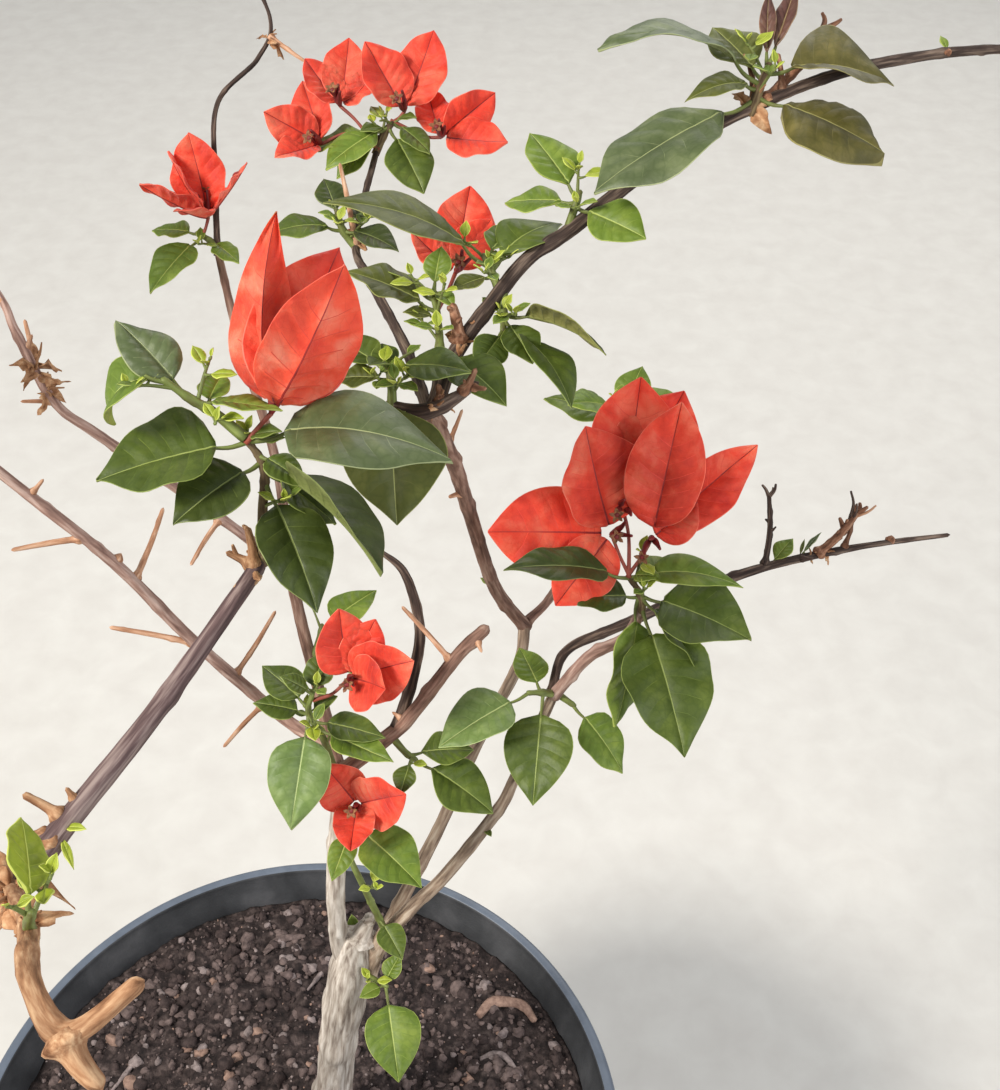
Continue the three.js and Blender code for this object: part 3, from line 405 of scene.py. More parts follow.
def srgb(red, green, blue):
    """A colour given as 0 to 255 values, as the linear values that shaders take"""
    return [((c / 255 + 0.055) / 1.055) ** 2.4 if c > 10 else c / 3295 for c in (red, green, blue)]


def unit(v):
    v = np.asarray(v, float)
    return v / np.linalg.norm(v, axis=-1, keepdims=True)


def seeded(seed):
    """The source's repeatable stream of numbers between 0 and 1"""
    state = seed * 7919 + 17
    while True:
        state = state * 48271 % 2147483647
        yield state / 2147483647


def direction(turn, rise):
    level = math.cos(math.radians(rise))
    turn = math.radians(turn)
    return np.array([math.cos(turn) * level, math.sin(turn) * level, math.sin(math.radians(rise))])


def circle(sides):
    """The angles of that many places round a circle"""
    return np.linspace(0, 2 * math.pi, sides, endpoint=False)


def level_side(aim):
    """The level direction across aim, on its right"""
    return unit(np.cross(aim, [0, 0, 1]))


def from_rim(route):
    """A route as heights above the rim, as Axis takes it"""
    return np.array(route) - [0, 0, POT_HEIGHT]


def ranged(random):
    """A function that draws a value between two others"""
    return lambda low, high: low + (high - low) * next(random)


def turned(v, axis, degrees):
    """v turned about a unit axis"""
    angle = math.radians(degrees)
    return v * math.cos(angle) + np.cross(axis, v) * math.sin(angle) + axis * (axis @ v) * (1 - math.cos(angle))


def lattice(cells, seed):
    """A number from -1 to 1 for each whole-number place"""
    x, y, z = cells[..., 0], cells[..., 1], cells[..., 2]
    mixed = (x * 73856093) ^ (y * 19349663) ^ (z * 83492791) ^ (seed * 7919 + 13)
    mixed = ((mixed ^ (mixed >> 13)) * 12747761) & 0xFFFFFFFF
    return ((mixed ^ (mixed >> 15)) & 0xFFFF) / 32767.5 - 1


def bumps(points, size, seed):
    """Smooth value noise from -1 to 1, with features of that size"""
    at = np.asarray(points, float) / size
    low = np.floor(at).astype(np.int64)
    part = at - low
    part = part * part * (3 - 2 * part)
    total = 0
    for corner in np.ndindex(2, 2, 2):
        weight = np.prod(np.where(corner, part, 1 - part), axis=-1)
        total = total + weight * lattice(low + np.array(corner), seed)
    return total


class Axis:
    """A smooth line through a limb's route, as the source draws it, with its radii and a frame at each step"""

    def __init__(self, route, radii, step):
        points = np.array(route, float) + [0, 0, POT_HEIGHT]
        self.knots = np.vstack([2 * points[0] - points[1], points, 2 * points[-1] - points[-2]])
        self.radii = radii
        chords = np.linalg.norm(np.diff(points, axis=0), axis=1)
        self.length = float(chords.sum())
        count = max(3, math.ceil(self.length / step))
        self.share = np.linspace(0, 1, count + 1)
        self.thick = self.radius(self.share)
        self.centres = self.at(self.share)
        ahead = self.at(np.minimum(1, self.share + LOOK_AHEAD)) - self.at(np.maximum(0, self.share - LOOK_AHEAD))
        self.along = unit(ahead)
        across = unit(np.cross([0, 1, 0], self.along[0]))
        sides = []
        for along in self.along:
            across = unit(across - along * (across @ along))
            sides.append(across)
        self.across = np.array(sides)
        self.depth = np.cross(self.along, self.across)
        self.gone = np.concatenate([[0], np.cumsum(np.linalg.norm(np.diff(self.centres, axis=0), axis=1))])

    def at(self, share):
        share = np.clip(np.asarray(share, float), 0, 1)
        spans = len(self.knots) - 3
        span = np.minimum((share * spans).astype(int), spans - 1)
        t = (share * spans - span)[..., None]
        p0, p1, p2, p3 = (self.knots[span + k] for k in range(4))
        out, back = (p2 - p0) / 2, (p3 - p1) / 2
        return p1 + out * t + (3 * (p2 - p1) - 2 * out - back) * t**2 + (2 * (p1 - p2) + out + back) * t**3

    def radius(self, share):
        return np.interp(share, np.linspace(0, 1, len(self.radii)), self.radii)


class Pile:
    """Faces of one kind, gathered into one mesh"""

    def __init__(self, name, slot, looks):
        self.name, self.slot, self.looks = name, slot, looks
        self.points, self.faces, self.marks, self.grains = [], [], [], []
        self.count = 0
        self.stands_for = []

    def add(self, points, faces, mark, grain=None):
        """mark is the name of a material, or one index a face"""
        points = np.asarray(points, float).reshape(-1, 3)
        self.points.append(points)
        self.faces.append(np.where(faces >= 0, faces + self.count, -1))
        index = self.looks.index(mark) if isinstance(mark, str) else mark
        self.marks.append(np.broadcast_to(index, len(faces)))
        self.grains.append(points if grain is None else np.asarray(grain, float).reshape(-1, 3))
        self.count += len(points)

    def build(self):
        faces = np.concatenate(self.faces)
        sizes = (faces >= 0).sum(axis=1)
        loops = faces[faces >= 0].astype(np.int32)
        mesh = bpy.data.meshes.new(self.name)
        mesh.vertices.add(self.count)
        inside = np.clip(np.concatenate(self.points) * MM, *cad_box)
        mesh.vertices.foreach_set("co", inside.astype(np.float32).ravel())
        mesh.loops.add(len(loops))
        mesh.loops.foreach_set("vertex_index", loops)
        mesh.polygons.add(len(faces))
        starts = np.concatenate([[0], np.cumsum(sizes)[:-1]]).astype(np.int32)
        mesh.polygons.foreach_set("loop_start", starts)
        for look in self.looks:
            mesh.materials.append(MATERIALS[look])
        mesh.polygons.foreach_set("material_index", np.concatenate(self.marks).astype(np.int32))
        mesh.polygons.foreach_set("use_smooth", np.ones(len(faces), bool))
        grain = mesh.attributes.new("grain", "FLOAT_VECTOR", "POINT")
        grain.data.foreach_set("vector", (np.concatenate(self.grains) * MM).astype(np.float32).ravel())
        mesh.update(calc_edges=True)
        mesh.validate()
        piece = bpy.data.objects.new(self.name, mesh)
        bpy.context.scene.collection.objects.link(piece)
        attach(piece, "root")
        if self.stands_for:
            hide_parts(*self.stands_for)
        return piece


def tube_faces(rows, sides):
    """Quads between rings, and a fan at each end round one more point: the first end's, then the last's"""
    at = np.arange(rows * sides).reshape(rows, sides)
    beside = np.roll(at, -1, axis=1)
    quads = np.stack([at[:-1], beside[:-1], beside[1:], at[1:]], axis=-1).reshape(-1, 4)
    none = np.full(sides, -1)
    first = np.stack([beside[0], at[0], np.full(sides, rows * sides), none], axis=-1)
    last = np.stack([at[-1], beside[-1], np.full(sides, rows * sides + 1), none], axis=-1)
    return np.concatenate([quads, first, last])


def tube(pile, axis, radii, sides, mark, swell=0, seed=0):
    """A tube of a radius at each step. swell, a number or one for each ring point, makes it thicker there."""
    angle = circle(sides)
    spread = radii[:, None] * np.broadcast_to(1 + swell, (len(radii), sides))
    out = np.cos(angle)[None, :, None] * axis.across[:, None] + np.sin(angle)[None, :, None] * axis.depth[:, None]
    rings = axis.centres[:, None] + out * spread[..., None]
    ends = np.array([axis.centres[0], axis.centres[-1] + axis.along[-1] * radii[-1] * 0.6])
    flat = np.stack([np.cos(angle) * radii[:, None], np.sin(angle) * radii[:, None]], axis=-1)
    grain = np.concatenate([flat, np.broadcast_to(axis.gone[:, None, None], (*spread.shape, 1))], axis=-1)
    grain = np.concatenate([grain.reshape(-1, 3), [[0, 0, 0], [0, 0, axis.length]]]) + seed * 37.0
    pile.add(np.concatenate([rings.reshape(-1, 3), ends]), tube_faces(len(radii), sides), mark, grain)


def ramp(low, high, *colours):
    """Two stops, or three with one halfway at 0.5"""
    places = (low, high) if len(colours) == 2 else (low, 0.5, high)
    return [(place, srgb(*colour)) for place, colour in zip(places, colours)]


def colour_ramp(tree, factor, stops):
    ramp = tree.nodes.new("ShaderNodeValToRGB")
    tree.links.new(factor, ramp.inputs["Fac"])
    entries = ramp.color_ramp.elements
    entries[0].position, entries[1].position = stops[0][0], stops[-1][0]
    for place, _ in stops[1:-1]:
        entries.new(place)
    for entry, (_, colour) in zip(entries, stops):
        entry.color = (*colour, 1)
    return ramp.outputs["Color"]


def noise(tree, coordinates, scale, detail=4.0, distortion=0.0, roughness=0.55):
    node = tree.nodes.new("ShaderNodeTexNoise")
    node.inputs["Scale"].default_value = scale
    node.inputs["Detail"].default_value = detail
    node.inputs["Distortion"].default_value = distortion
    node.inputs["Roughness"].default_value = roughness
    tree.links.new(coordinates, node.inputs["Vector"])
    return node.outputs["Fac"]


def stretched(tree, coordinates, factors):
    node = tree.nodes.new("ShaderNodeMapping")
    node.inputs["Scale"].default_value = factors
    tree.links.new(coordinates, node.inputs["Vector"])
    return node.outputs["Vector"]


def mixed(tree, blend, amount, first, second):
    node = tree.nodes.new("ShaderNodeMix")
    node.data_type = "RGBA"
    node.blend_type = blend
    factor, a, b, result = node.inputs[0], node.inputs[6], node.inputs[7], node.outputs[2]
    factor.default_value = amount
    tree.links.new(first, a)
    tree.links.new(second, b)
    return result


def material(name, stops, size, *, along=None, rough=(0.5, 0.7), bump=(0.0, 1.0), shade=0.0, shade_size=20.0,
             cells=None, specular=0.5, sheen=0.0, coat=0.0, glow=0.0):
    """A procedural material. stops are ramp places and colours, size is the pattern's in mm, along stretches it along
    a limb, shade is how far a broad noise darkens it, bump is its height and size in mm, cells is a net of veins."""
    made = bpy.data.materials.new(name)
    made.use_nodes = True
    tree = made.node_tree
    shader = tree.nodes["Principled BSDF"]
    if along:
        source = tree.nodes.new("ShaderNodeAttribute")
        source.attribute_name = "grain"
        place = stretched(tree, source.outputs["Vector"], (1, 1, 1 / along))
    else:
        place = tree.nodes.new("ShaderNodeTexCoord").outputs["Object"]
    pattern = noise(tree, place, 1000 / size, detail=5, distortion=0.3)
    colour = colour_ramp(tree, pattern, stops)
    if shade:
        broad = noise(tree, place, 1000 / shade_size, detail=2)
        dark = 1 - shade
        tint = colour_ramp(tree, broad, [(0.35, [dark] * 3), (0.62, [1, 1, 1])])
        colour = mixed(tree, "MULTIPLY", 1.0, colour, tint)
    if cells:
        net = tree.nodes.new("ShaderNodeTexVoronoi")
        net.feature = "DISTANCE_TO_EDGE"
        net.inputs["Scale"].default_value = 1000 / cells[0]
        tree.links.new(place, net.inputs["Vector"])
        lines = colour_ramp(tree, net.outputs["Distance"], [(0.0, cells[1]), (cells[2], [1, 1, 1])])
        colour = mixed(tree, "MULTIPLY", 1.0, colour, lines)
    tree.links.new(colour, shader.inputs["Base Color"])
    gloss = tree.nodes.new("ShaderNodeMapRange")
    gloss.inputs["To Min"].default_value, gloss.inputs["To Max"].default_value = rough
    tree.links.new(pattern, gloss.inputs["Value"])
    tree.links.new(gloss.outputs["Result"], shader.inputs["Roughness"])
    if bump[0]:
        fine = noise(tree, place, 1000 / bump[1], detail=6)
        relief = tree.nodes.new("ShaderNodeBump")
        relief.inputs["Strength"].default_value = 0.8
        relief.inputs["Distance"].default_value = bump[0] * MM
        tree.links.new(fine, relief.inputs["Height"])
        tree.links.new(relief.outputs["Normal"], shader.inputs["Normal"])
    shader.inputs["Specular IOR Level"].default_value = specular
    if sheen:
        shader.inputs["Sheen Weight"].default_value = sheen
    if coat:
        shader.inputs["Coat Weight"].default_value = coat
        shader.inputs["Coat Roughness"].default_value = 0.35
    if glow:
        shader.inputs["Subsurface Weight"].default_value = glow
        shader.inputs["Subsurface Radius"].default_value = (1.0, 0.35, 0.2)
        shader.inputs["Subsurface Scale"].default_value = 0.0012
    return made


def wood(name, dark, mid, light, along, size=1.6, bump=0.35, shade=0.35):
    """Bark or dead wood, streaked along the limb"""
    return material(name, ramp(0.3, 0.68, dark, mid, light), size, along=along, rough=(0.7, 0.92),
                    bump=(bump, size * 0.7), shade=shade, shade_size=9.0, specular=0.25)


def crumb_look(name, dark, light, smoothest, height, size):
    return material(name, ramp(0.3, 0.7, dark, light), 3.0, rough=(smoothest, 1.0), bump=(height, size), specular=0.2)


def leaf_skins(tone, top, top_light, under, gloss):
    """The upper skin, underside, side veins, midrib and rim of one tone of leaf"""
    shaded = [c * 0.8 for c in srgb(*top)]
    bright = [(a + 2 * b) / 3 for a, b in zip(srgb(*top), srgb(*top_light))]
    below = srgb(*under)

    def paler(share):
        return [(1 - share) * a + share * b for a, b in zip(srgb(*top_light), srgb(196, 204, 140))]

    return {
        tone: material(f"leaf_{tone}", [(0.3, shaded), (0.5, srgb(*top)), (0.76, bright)], 12.0,
                       rough=(gloss, gloss + 0.14), bump=(0.16, 1.3), shade=0.2, shade_size=30.0, specular=0.34,
                       cells=(3.4, [0.84, 0.87, 0.8], 0.16)),
        f"{tone}_under": material(f"leaf_{tone}_under", [(0.3, [c * 0.8 for c in below]), (0.7, below)], 5.0,
                                  rough=(0.6, 0.75), bump=(0.15, 0.9), specular=0.3,
                                  cells=(3.2, [0.8, 0.84, 0.72], 0.1)),
        f"{tone}_vein": material(f"leaf_{tone}_vein", [(0.34, shaded), (0.52, srgb(*top)), (0.8, paler(0.02))], 8.0,
                                 rough=(gloss, gloss + 0.1), specular=0.4),
        f"{tone}_rib": material(f"leaf_{tone}_rib", [(0.3, paler(0.1)), (0.7, paler(0.34))], 5.0,
                                rough=(gloss, gloss + 0.1), specular=0.4),
        f"{tone}_rim": material(f"leaf_{tone}_rim", [(0.3, srgb(*top_light)), (0.7, paler(0.22))], 6.0,
                                rough=(gloss, gloss + 0.12), specular=0.4),
    }


MATERIALS = {
    "pale": wood("bark_pale", (118, 103, 92), (188, 176, 163), (226, 217, 206), 9, size=1.9, shade=0.3),
    "bark": wood("bark_tan", (92, 74, 62), (158, 136, 116), (196, 178, 158), 8),
    "brown": wood("bark_brown", (88, 62, 52), (144, 110, 94), (184, 154, 136), 8),
    "rosy": wood("bark_rosy", (112, 84, 74), (168, 134, 120), (208, 180, 166), 8, bump=0.25, shade=0.3),
    "dark": wood("bark_dark", (44, 35, 31), (82, 66, 58), (146, 126, 110), 11, size=1.2, bump=0.4),
    "cane": wood("bark_cane", (66, 50, 50), (112, 90, 88), (170, 150, 142), 14, size=1.5, bump=0.3, shade=0.4),
    "dead": wood("dead_wood", (112, 74, 48), (176, 130, 94), (218, 178, 138), 5, size=1.4),
    "rust": wood("rusty_wood", (86, 56, 42), (150, 104, 78), (200, 154, 124), 4, size=1.3, bump=0.5, shade=0.45),
    "thorn": wood("thorn", (142, 98, 72), (190, 142, 110), (226, 188, 158), 7, size=1.3, bump=0.15, shade=0.2),
    "tuft": material("dead_leaf", ramp(0.3, 0.7, (132, 88, 58), (186, 138, 100), (226, 188, 148)), 3.0,
                     rough=(0.75, 0.95), bump=(0.3, 1.2), shade=0.3, specular=0.2),
    "stem": material("green_stem", ramp(0.3, 0.72, (92, 84, 48), (116, 128, 62), (150, 162, 90)),
                     2.2, along=5, rough=(0.45, 0.65), bump=(0.1, 1.0), shade=0.25, specular=0.4),
    "woody_stem": wood("woody_stem", (74, 56, 42), (116, 96, 70), (152, 136, 98), 6, size=1.4, bump=0.2),
    # Bracts: the dark and the pinkish ends of both ramps and the broad darkening are partly their own mottling, partly
    # painted shade and painted highlights at random places
    "bract": material("bract_inside", ramp(0.26, 0.76, (192, 40, 28), (236, 74, 48), (252, 134, 102)),
                      12.0, rough=(0.52, 0.68), bump=(0.6, 2.4), shade=0.26, shade_size=26.0, sheen=0.15, glow=0.4,
                      cells=(4.2, [0.93, 0.88, 0.87], 0.04), specular=0.3),
    # The bracts' outer face: its own salmon red, made lighter than the inner face as painted sunlight
    "bract_back_painted_light": material("bract_outside_painted_light", ramp(0.26, 0.76, (214, 56, 38), (248, 90, 60), (255, 152, 122)),
                           10.0, rough=(0.55, 0.7), bump=(0.6, 2.2), shade=0.22, shade_size=26.0, sheen=0.15, glow=0.4,
                           cells=(4.0, [0.92, 0.87, 0.86], 0.04), specular=0.28),
    "bract_vein": material("bract_vein", ramp(0.3, 0.7, (208, 50, 32), (232, 80, 56)), 5.0, rough=(0.5, 0.7)),
    "bract_rib": material("bract_rib", ramp(0.3, 0.7, (128, 26, 26), (184, 50, 38)), 5.0, rough=(0.5, 0.7)),
    "bract_rim": material("bract_rim", ramp(0.3, 0.7, (226, 84, 62), (246, 130, 104)), 6.0, rough=(0.5, 0.7)),
    "flower_stalk": material("flower_stalk", ramp(0.3, 0.7, (118, 52, 44), (172, 84, 62)), 3.0, along=4,
                             rough=(0.5, 0.7), bump=(0.1, 0.9)),
    "flower_tube": material("flower_tube", ramp(0.3, 0.7, (84, 22, 26), (150, 44, 40)), 2.0, along=4,
                            rough=(0.5, 0.7), bump=(0.15, 0.9)),
    "flower_star": material("flower_star", ramp(0.3, 0.7, (92, 48, 34), (168, 116, 74)), 2.0, rough=(0.6, 0.8)),
    "pot_plastic": material("pot_plastic", ramp(0.3, 0.72, (90, 98, 110), (97, 106, 119), (106, 115, 128)),
                            12.0, rough=(0.4, 0.52), bump=(0.12, 1.4), shade=0.06, shade_size=90.0, specular=0.5),
    # The pot's inside is the same plastic drawn darker and greyer: painted shade in its hollow
    "pot_inside_painted_shade": material("pot_inside_painted_shade", ramp(0.3, 0.72, (44, 45, 47), (60, 61, 63), (84, 84, 86)),
                           24.0, rough=(0.5, 0.75), bump=(0.2, 1.2), shade=0.3, shade_size=40.0, specular=0.4),
    "soil": material("soil_bed", ramp(0.3, 0.7, (30, 26, 26), (58, 49, 47), (98, 85, 81)), 4.5,
                     rough=(0.85, 1.0), bump=(1.2, 1.6), shade=0.35, shade_size=22.0, specular=0.2),
    "crumb_dark": crumb_look("soil_dark", (44, 37, 36), (84, 71, 68), 0.85, 0.6, 1.0),
    "crumb_mid": crumb_look("soil_mid", (72, 61, 59), (128, 111, 106), 0.85, 0.6, 1.0),
    "crumb_grey": crumb_look("soil_grey", (98, 87, 85), (164, 149, 145), 0.8, 0.5, 0.9),
    "crumb_tan": crumb_look("soil_tan", (110, 86, 76), (172, 142, 126), 0.8, 0.5, 0.9),
}
# Tones of leaf: upper skin, its lighter patches, underside, gloss
LEAF_TONES = {
    "deep": ((66, 78, 30), (102, 114, 50), (122, 130, 72), 0.4),
    "mid": ((82, 98, 34), (124, 138, 56), (138, 146, 78), 0.42),
    "olive": ((88, 94, 38), (132, 134, 66), (142, 140, 80), 0.45),
    "fresh": ((104, 126, 42), (154, 168, 74), (162, 170, 88), 0.44),
    "young": ((152, 166, 46), (196, 204, 86), (186, 194, 84), 0.45),
    # grey: grey-green leaves, partly their own tone and partly a painted sheen of the sky
    "grey": ((92, 104, 66), (140, 148, 104), (150, 156, 108), 0.4),
    "pale_green": ((112, 134, 72), (162, 178, 116), (166, 178, 112), 0.42),
    "bronze": ((92, 86, 40), (138, 126, 70), (148, 134, 84), 0.44),
    "plum": ((100, 66, 58), (142, 104, 82), (136, 96, 92), 0.42),
}
SKIN_PARTS = ("", "_under", "_vein", "_rib", "_rim")
for tone, colours in LEAF_TONES.items():
    MATERIALS |= leaf_skins(tone, *colours)
LEAF_LOOKS = [f"{tone}{part}" for tone in LEAF_TONES for part in SKIN_PARTS]
BRACT_LOOKS = ["bract", "bract_back_painted_light", "bract_vein", "bract_rib", "bract_rim"]


# Spurs: a thorn below this length is a knob, a longer dead stub has pegs, and a long one a fork
LONG_THORN = 15
PEGGED_STUB = 8
FORKED_STUB = 14
MM_PER_PEG = 6

# Limbs: steps along them in mm, nodes, the trunk's root flare, and the collar where a limb leaves another
NODE_RING, NODE_BUD = 0.07, 0.24
LIMB_STEP = 1.1
FLARE_REACH = 13
COLLAR_SWELL, COLLAR_REACH = 0.22, 2.5
limb_axes = {}
PILES = {
    "pale": Pile("trunk_bark", "pale_bark", ["pale"]),
    "young": Pile("bough_bark", "young_bark", ["bark", "brown", "cane", "rosy"]),
    "dark": Pile("dark_stems", "dark_bark", ["dark", "pale", "brown"]),
    "dead": Pile("dead_wood", "dead_wood", ["dead", "rust", "thorn", "pale", "dark"]),
}
PILE_OF = {"pale": "pale", "bark": "young", "brown": "young", "dark": "dark", "dead": "dead"}
JOINED_ON = ("cane_foot", "arch_bough_inner")
RUSTY_SPURS = {("bare_right_twig", 1), ("bare_right_twig", 2), ("bare_right_twig", 4)}


def bark_swell(axis, radii, sides, relief, node_gap, seed):
    """Ridges along a limb, and its nodes"""
    angle = circle(sides)
    gone = axis.gone[:, None]
    x, y = np.cos(angle) * radii[:, None], np.sin(angle) * radii[:, None]
    ridges = np.stack([x, y, np.broadcast_to(gone / 7, x.shape)], axis=-1)
    fissures = np.stack([x, y, np.broadcast_to(gone / 5, x.shape)], axis=-1)
    wide = float(radii.mean())
    swell = relief * (bumps(ridges, 0.8 * wide, seed) + 0.55 * bumps(fissures, 0.3 * wide, seed + 50))
    random = seeded(seed + 300)
    place = node_gap * (0.4 + 0.5 * next(random))
    while place < axis.length - 4:
        near = np.exp(-(((gone - place) / (0.7 * wide + 0.5)) ** 2))
        facing = np.cos(angle - 2 * math.pi * next(random))
        swell = swell + near * (NODE_RING + NODE_BUD * np.clip(facing, 0, 1) ** 6)
        place += node_gap * (0.6 + 0.8 * next(random))
    return swell


def rounded_end(axis, radii, last):
    """The radii, drawn in to a dome over the last few mm"""
    close = np.clip((axis.gone - axis.gone[-1] + last) / last, 0, 0.98)
    return radii * np.sqrt(1 - close**2)


def limb_piece(number, limb):
    look = LIMB_LOOKS.get(limb.name, limb.wood)
    sides, relief, node_gap = BARKS[look]
    trunk = limb.name == "trunk"
    axis = Axis(limb.route, limb.radii, LIMB_STEP)
    radii = axis.thick
    if limb.name in JOINED_ON:
        axis.centres[-1] += axis.along[-1]
    else:
        radii = rounded_end(axis, radii, radii[-1] * 1.2)
    if trunk:
        sides = TRUNK_SIDES
    swell = bark_swell(axis, np.maximum(radii, 0.8), sides, relief, node_gap, number + 1)
    if trunk:
        angle = circle(sides)
        foot = np.exp(-axis.gone / FLARE_REACH)[:, None]
        swell = swell + foot * (0.1 + 0.16 * np.cos(3 * angle + 0.6) + 0.09 * np.cos(5 * angle + 2))
    else:
        swell = swell + COLLAR_SWELL * np.exp(-axis.gone / COLLAR_REACH)[:, None]
    pile = PILES[PILE_OF[limb.wood]]
    tube(pile, axis, radii, sides, look, swell, number)
    pile.stands_for.append(limb.name)
    limb_axes[limb.name] = axis
    for count, spur in enumerate(SPURS.get(limb.name, []) + FINER_SPURS.get(limb.name, [])):
        look = "rust" if (limb.name, count) in RUSTY_SPURS else SPUR_LOOKS.get(limb.name, "thorn")
        line = spur_piece(axis, spur, look, number * 10 + count)
        for share, turn, rise, length, radius, look in SPUR_TWIGS.get((limb.name, count), []):
            peg_line(line.at(share), direction(turn, rise), length, radius, look, number + int(turn))


def spur_piece(axis, spur, look, seed):
    """A blunt thorn of nearly even width, or a dead stub with knobs and, where it is long, a forked end"""
    place, turn, rise, length, radius = spur
    thorn = look == "thorn"
    radius = max(radius * SPUR_SWELL, THORN_RADIUS if length > LONG_THORN else 0.8)
    foot = axis.at(place)
    aim = direction(turn, rise)
    bend = unit(np.cross(aim, [0.3, 0.2, 1])) * length * (0.03 if thorn else 0.08)
    route = [foot, foot + aim * length * 0.5 + bend * 0.6, foot + aim * length]
    line = Axis(from_rim(route), [radius, radius * 0.85, radius * 0.62], 0.6)
    radii = line.thick
    radii = rounded_end(line, radii, radii[-1] * (1.8 if thorn else 1.0))
    base = float(axis.radius(place))
    radii = radii + radius * 0.7 * np.exp(-(((line.gone - base * 0.9) / 1.3) ** 2))
    sides = 12 if radius > 1 else 10
    swell = bark_swell(line, np.maximum(radii, 0.4), sides, 0.06 if thorn else 0.13, 14 if thorn else 5, seed)
    tube(PILES["dead"], line, radii, sides, look, swell, seed)
    if thorn or length < PEGGED_STUB:
        return line
    random = seeded(seed + 60)
    for peg in range(int(length / MM_PER_PEG)):
        start = (0.35 + 0.65 * next(random)) * (1 if peg % 2 else 0.8)
        lean = turned(unit(np.cross(aim, [0.1, 0.3, 1])), aim, 360 * next(random)) * (0.5 + next(random))
        peg_line(line.at(min(1, start)), unit(aim + lean), 1.8 + 2.2 * next(random), radius * 0.42, look, seed + peg)
    if length > FORKED_STUB:
        side = turned(unit(np.cross(aim, [0.1, 0.3, 1])), aim, 360 * next(random))
        for lean in (0.45, -0.6):
            peg_line(line.centres[-1] - aim * 1.2, unit(aim + side * lean), length * 0.2, radius * 0.5, look, seed + 9)
    return line


def peg_line(foot, aim, length, radius, look, seed):
    """A short side peg on a dead stub"""
    bend = unit(np.cross(aim, [0.2, 0.4, 1])) * length * 0.12
    route = from_rim([foot, foot + aim * length * 0.6 + bend, foot + aim * length])
    line = Axis(route, [radius * 1.25, radius, radius * 0.7], 0.5)
    swell = bark_swell(line, line.thick, 8, 0.12, 3, seed)
    tube(PILES["dead"], line, line.thick, 8, look, swell, seed)


for number, limb in enumerate(LIMBS):
    limb_piece(number, limb)

# Half widths of blades, as shares of the widest half, at places from foot to tip
SHAPE_PLACES = (0, 0.05, 0.12, 0.22, 0.34, 0.46, 0.58, 0.7, 0.8, 0.88, 0.94, 1)
SLIM_SHAPE = SHAPE_PLACES, (0.05, 0.22, 0.47, 0.76, 0.95, 1.0, 0.93, 0.75, 0.53, 0.32, 0.16, 0.01)
LANCE_SHAPE = SHAPE_PLACES, (0.1, 0.5, 0.8, 0.99, 1.0, 0.88, 0.7, 0.52, 0.37, 0.24, 0.13, 0.01)
CUP_SHAPE = SHAPE_PLACES, (0.45, 0.72, 0.88, 0.97, 1.0, 0.98, 0.9, 0.76, 0.58, 0.39, 0.22, 0.02)
BROAD_PLACES = (0, 0.04, 0.1, 0.2, 0.32, 0.45, 0.58, 0.7, 0.8, 0.88, 0.94, 1)
BROAD_SHAPE = BROAD_PLACES, (0.08, 0.4, 0.7, 0.92, 1.0, 0.97, 0.86, 0.67, 0.46, 0.27, 0.14, 0.01)
BRACT_PLACES = (0, 0.04, 0.1, 0.2, 0.32, 0.45, 0.58, 0.7, 0.8, 0.88, 0.945, 1)
BRACT_SHAPE = BRACT_PLACES, (0.1, 0.42, 0.66, 0.87, 0.98, 1.0, 0.95, 0.82, 0.63, 0.42, 0.21, 0.02)

# Side veins, as shares of the blade's length
LEAF_VEINS = (0.09, 0.21, 0.34, 0.48, 0.63)
BRACT_VEINS = (0.06, 0.15, 0.26, 0.38, 0.51, 0.65)
TINY_LEAF = 13
# Blades: least half width in mm, columns between rib and rim, and how far the side veins lean to the tip
LEAST_HALF = 0.12
INNER_COLUMNS = (0.72, 0.36)
VEIN_LEAN, TINY_LEAN = 0.2, 0.08
# Rows of a blade past its last side vein, as shares of what is left, and all rows of a tiny blade
ROW_SHARES = (0.2, 0.38, 0.54, 0.68, 0.8, 0.9, 0.96)
SHORT_ROWS = (0, 0.06, 0.16, 0.3, 0.46, 0.62, 0.77, 0.88, 0.95, 1)


def shape_at(shape, place):
    """The half width at each place, on a smooth line through the table"""
    places, widths = np.array(shape)
    slopes = np.gradient(widths, places)
    span = np.clip(np.searchsorted(places, place, side="right") - 1, 0, len(places) - 2)
    gap = places[span + 1] - places[span]
    t = (place - places[span]) / gap
    ends = widths[span] * (2 * t**3 - 3 * t**2 + 1) + widths[span + 1] * (3 * t**2 - 2 * t**3)
    return ends + gap * (slopes[span] * (t**3 - 2 * t**2 + t) + slopes[span + 1] * (t**3 - t**2))


def blade_rows(veins, band):
    """Places of the rows along a blade, and which of the strips between them are side veins"""
    if not veins:
        return np.array(SHORT_ROWS), np.zeros(len(SHORT_ROWS) - 1, bool)
    rows = [(0, False), (veins[0] * 0.45, False)]
    for k, vein in enumerate(veins):
        rows += [(vein - band, True), (vein + band, False)]
        after = veins[k + 1] if k + 1 < len(veins) else vein + 0.13
        rows += [(vein + (after - vein) * share, False) for share in (0.36, 0.68)]
    last = rows[-1][0]
    rows += [(last + (1 - last) * share, False) for share in ROW_SHARES] + [(1, False)]
    return np.array([place for place, _ in rows]), np.array([vein for _, vein in rows[:-1]])


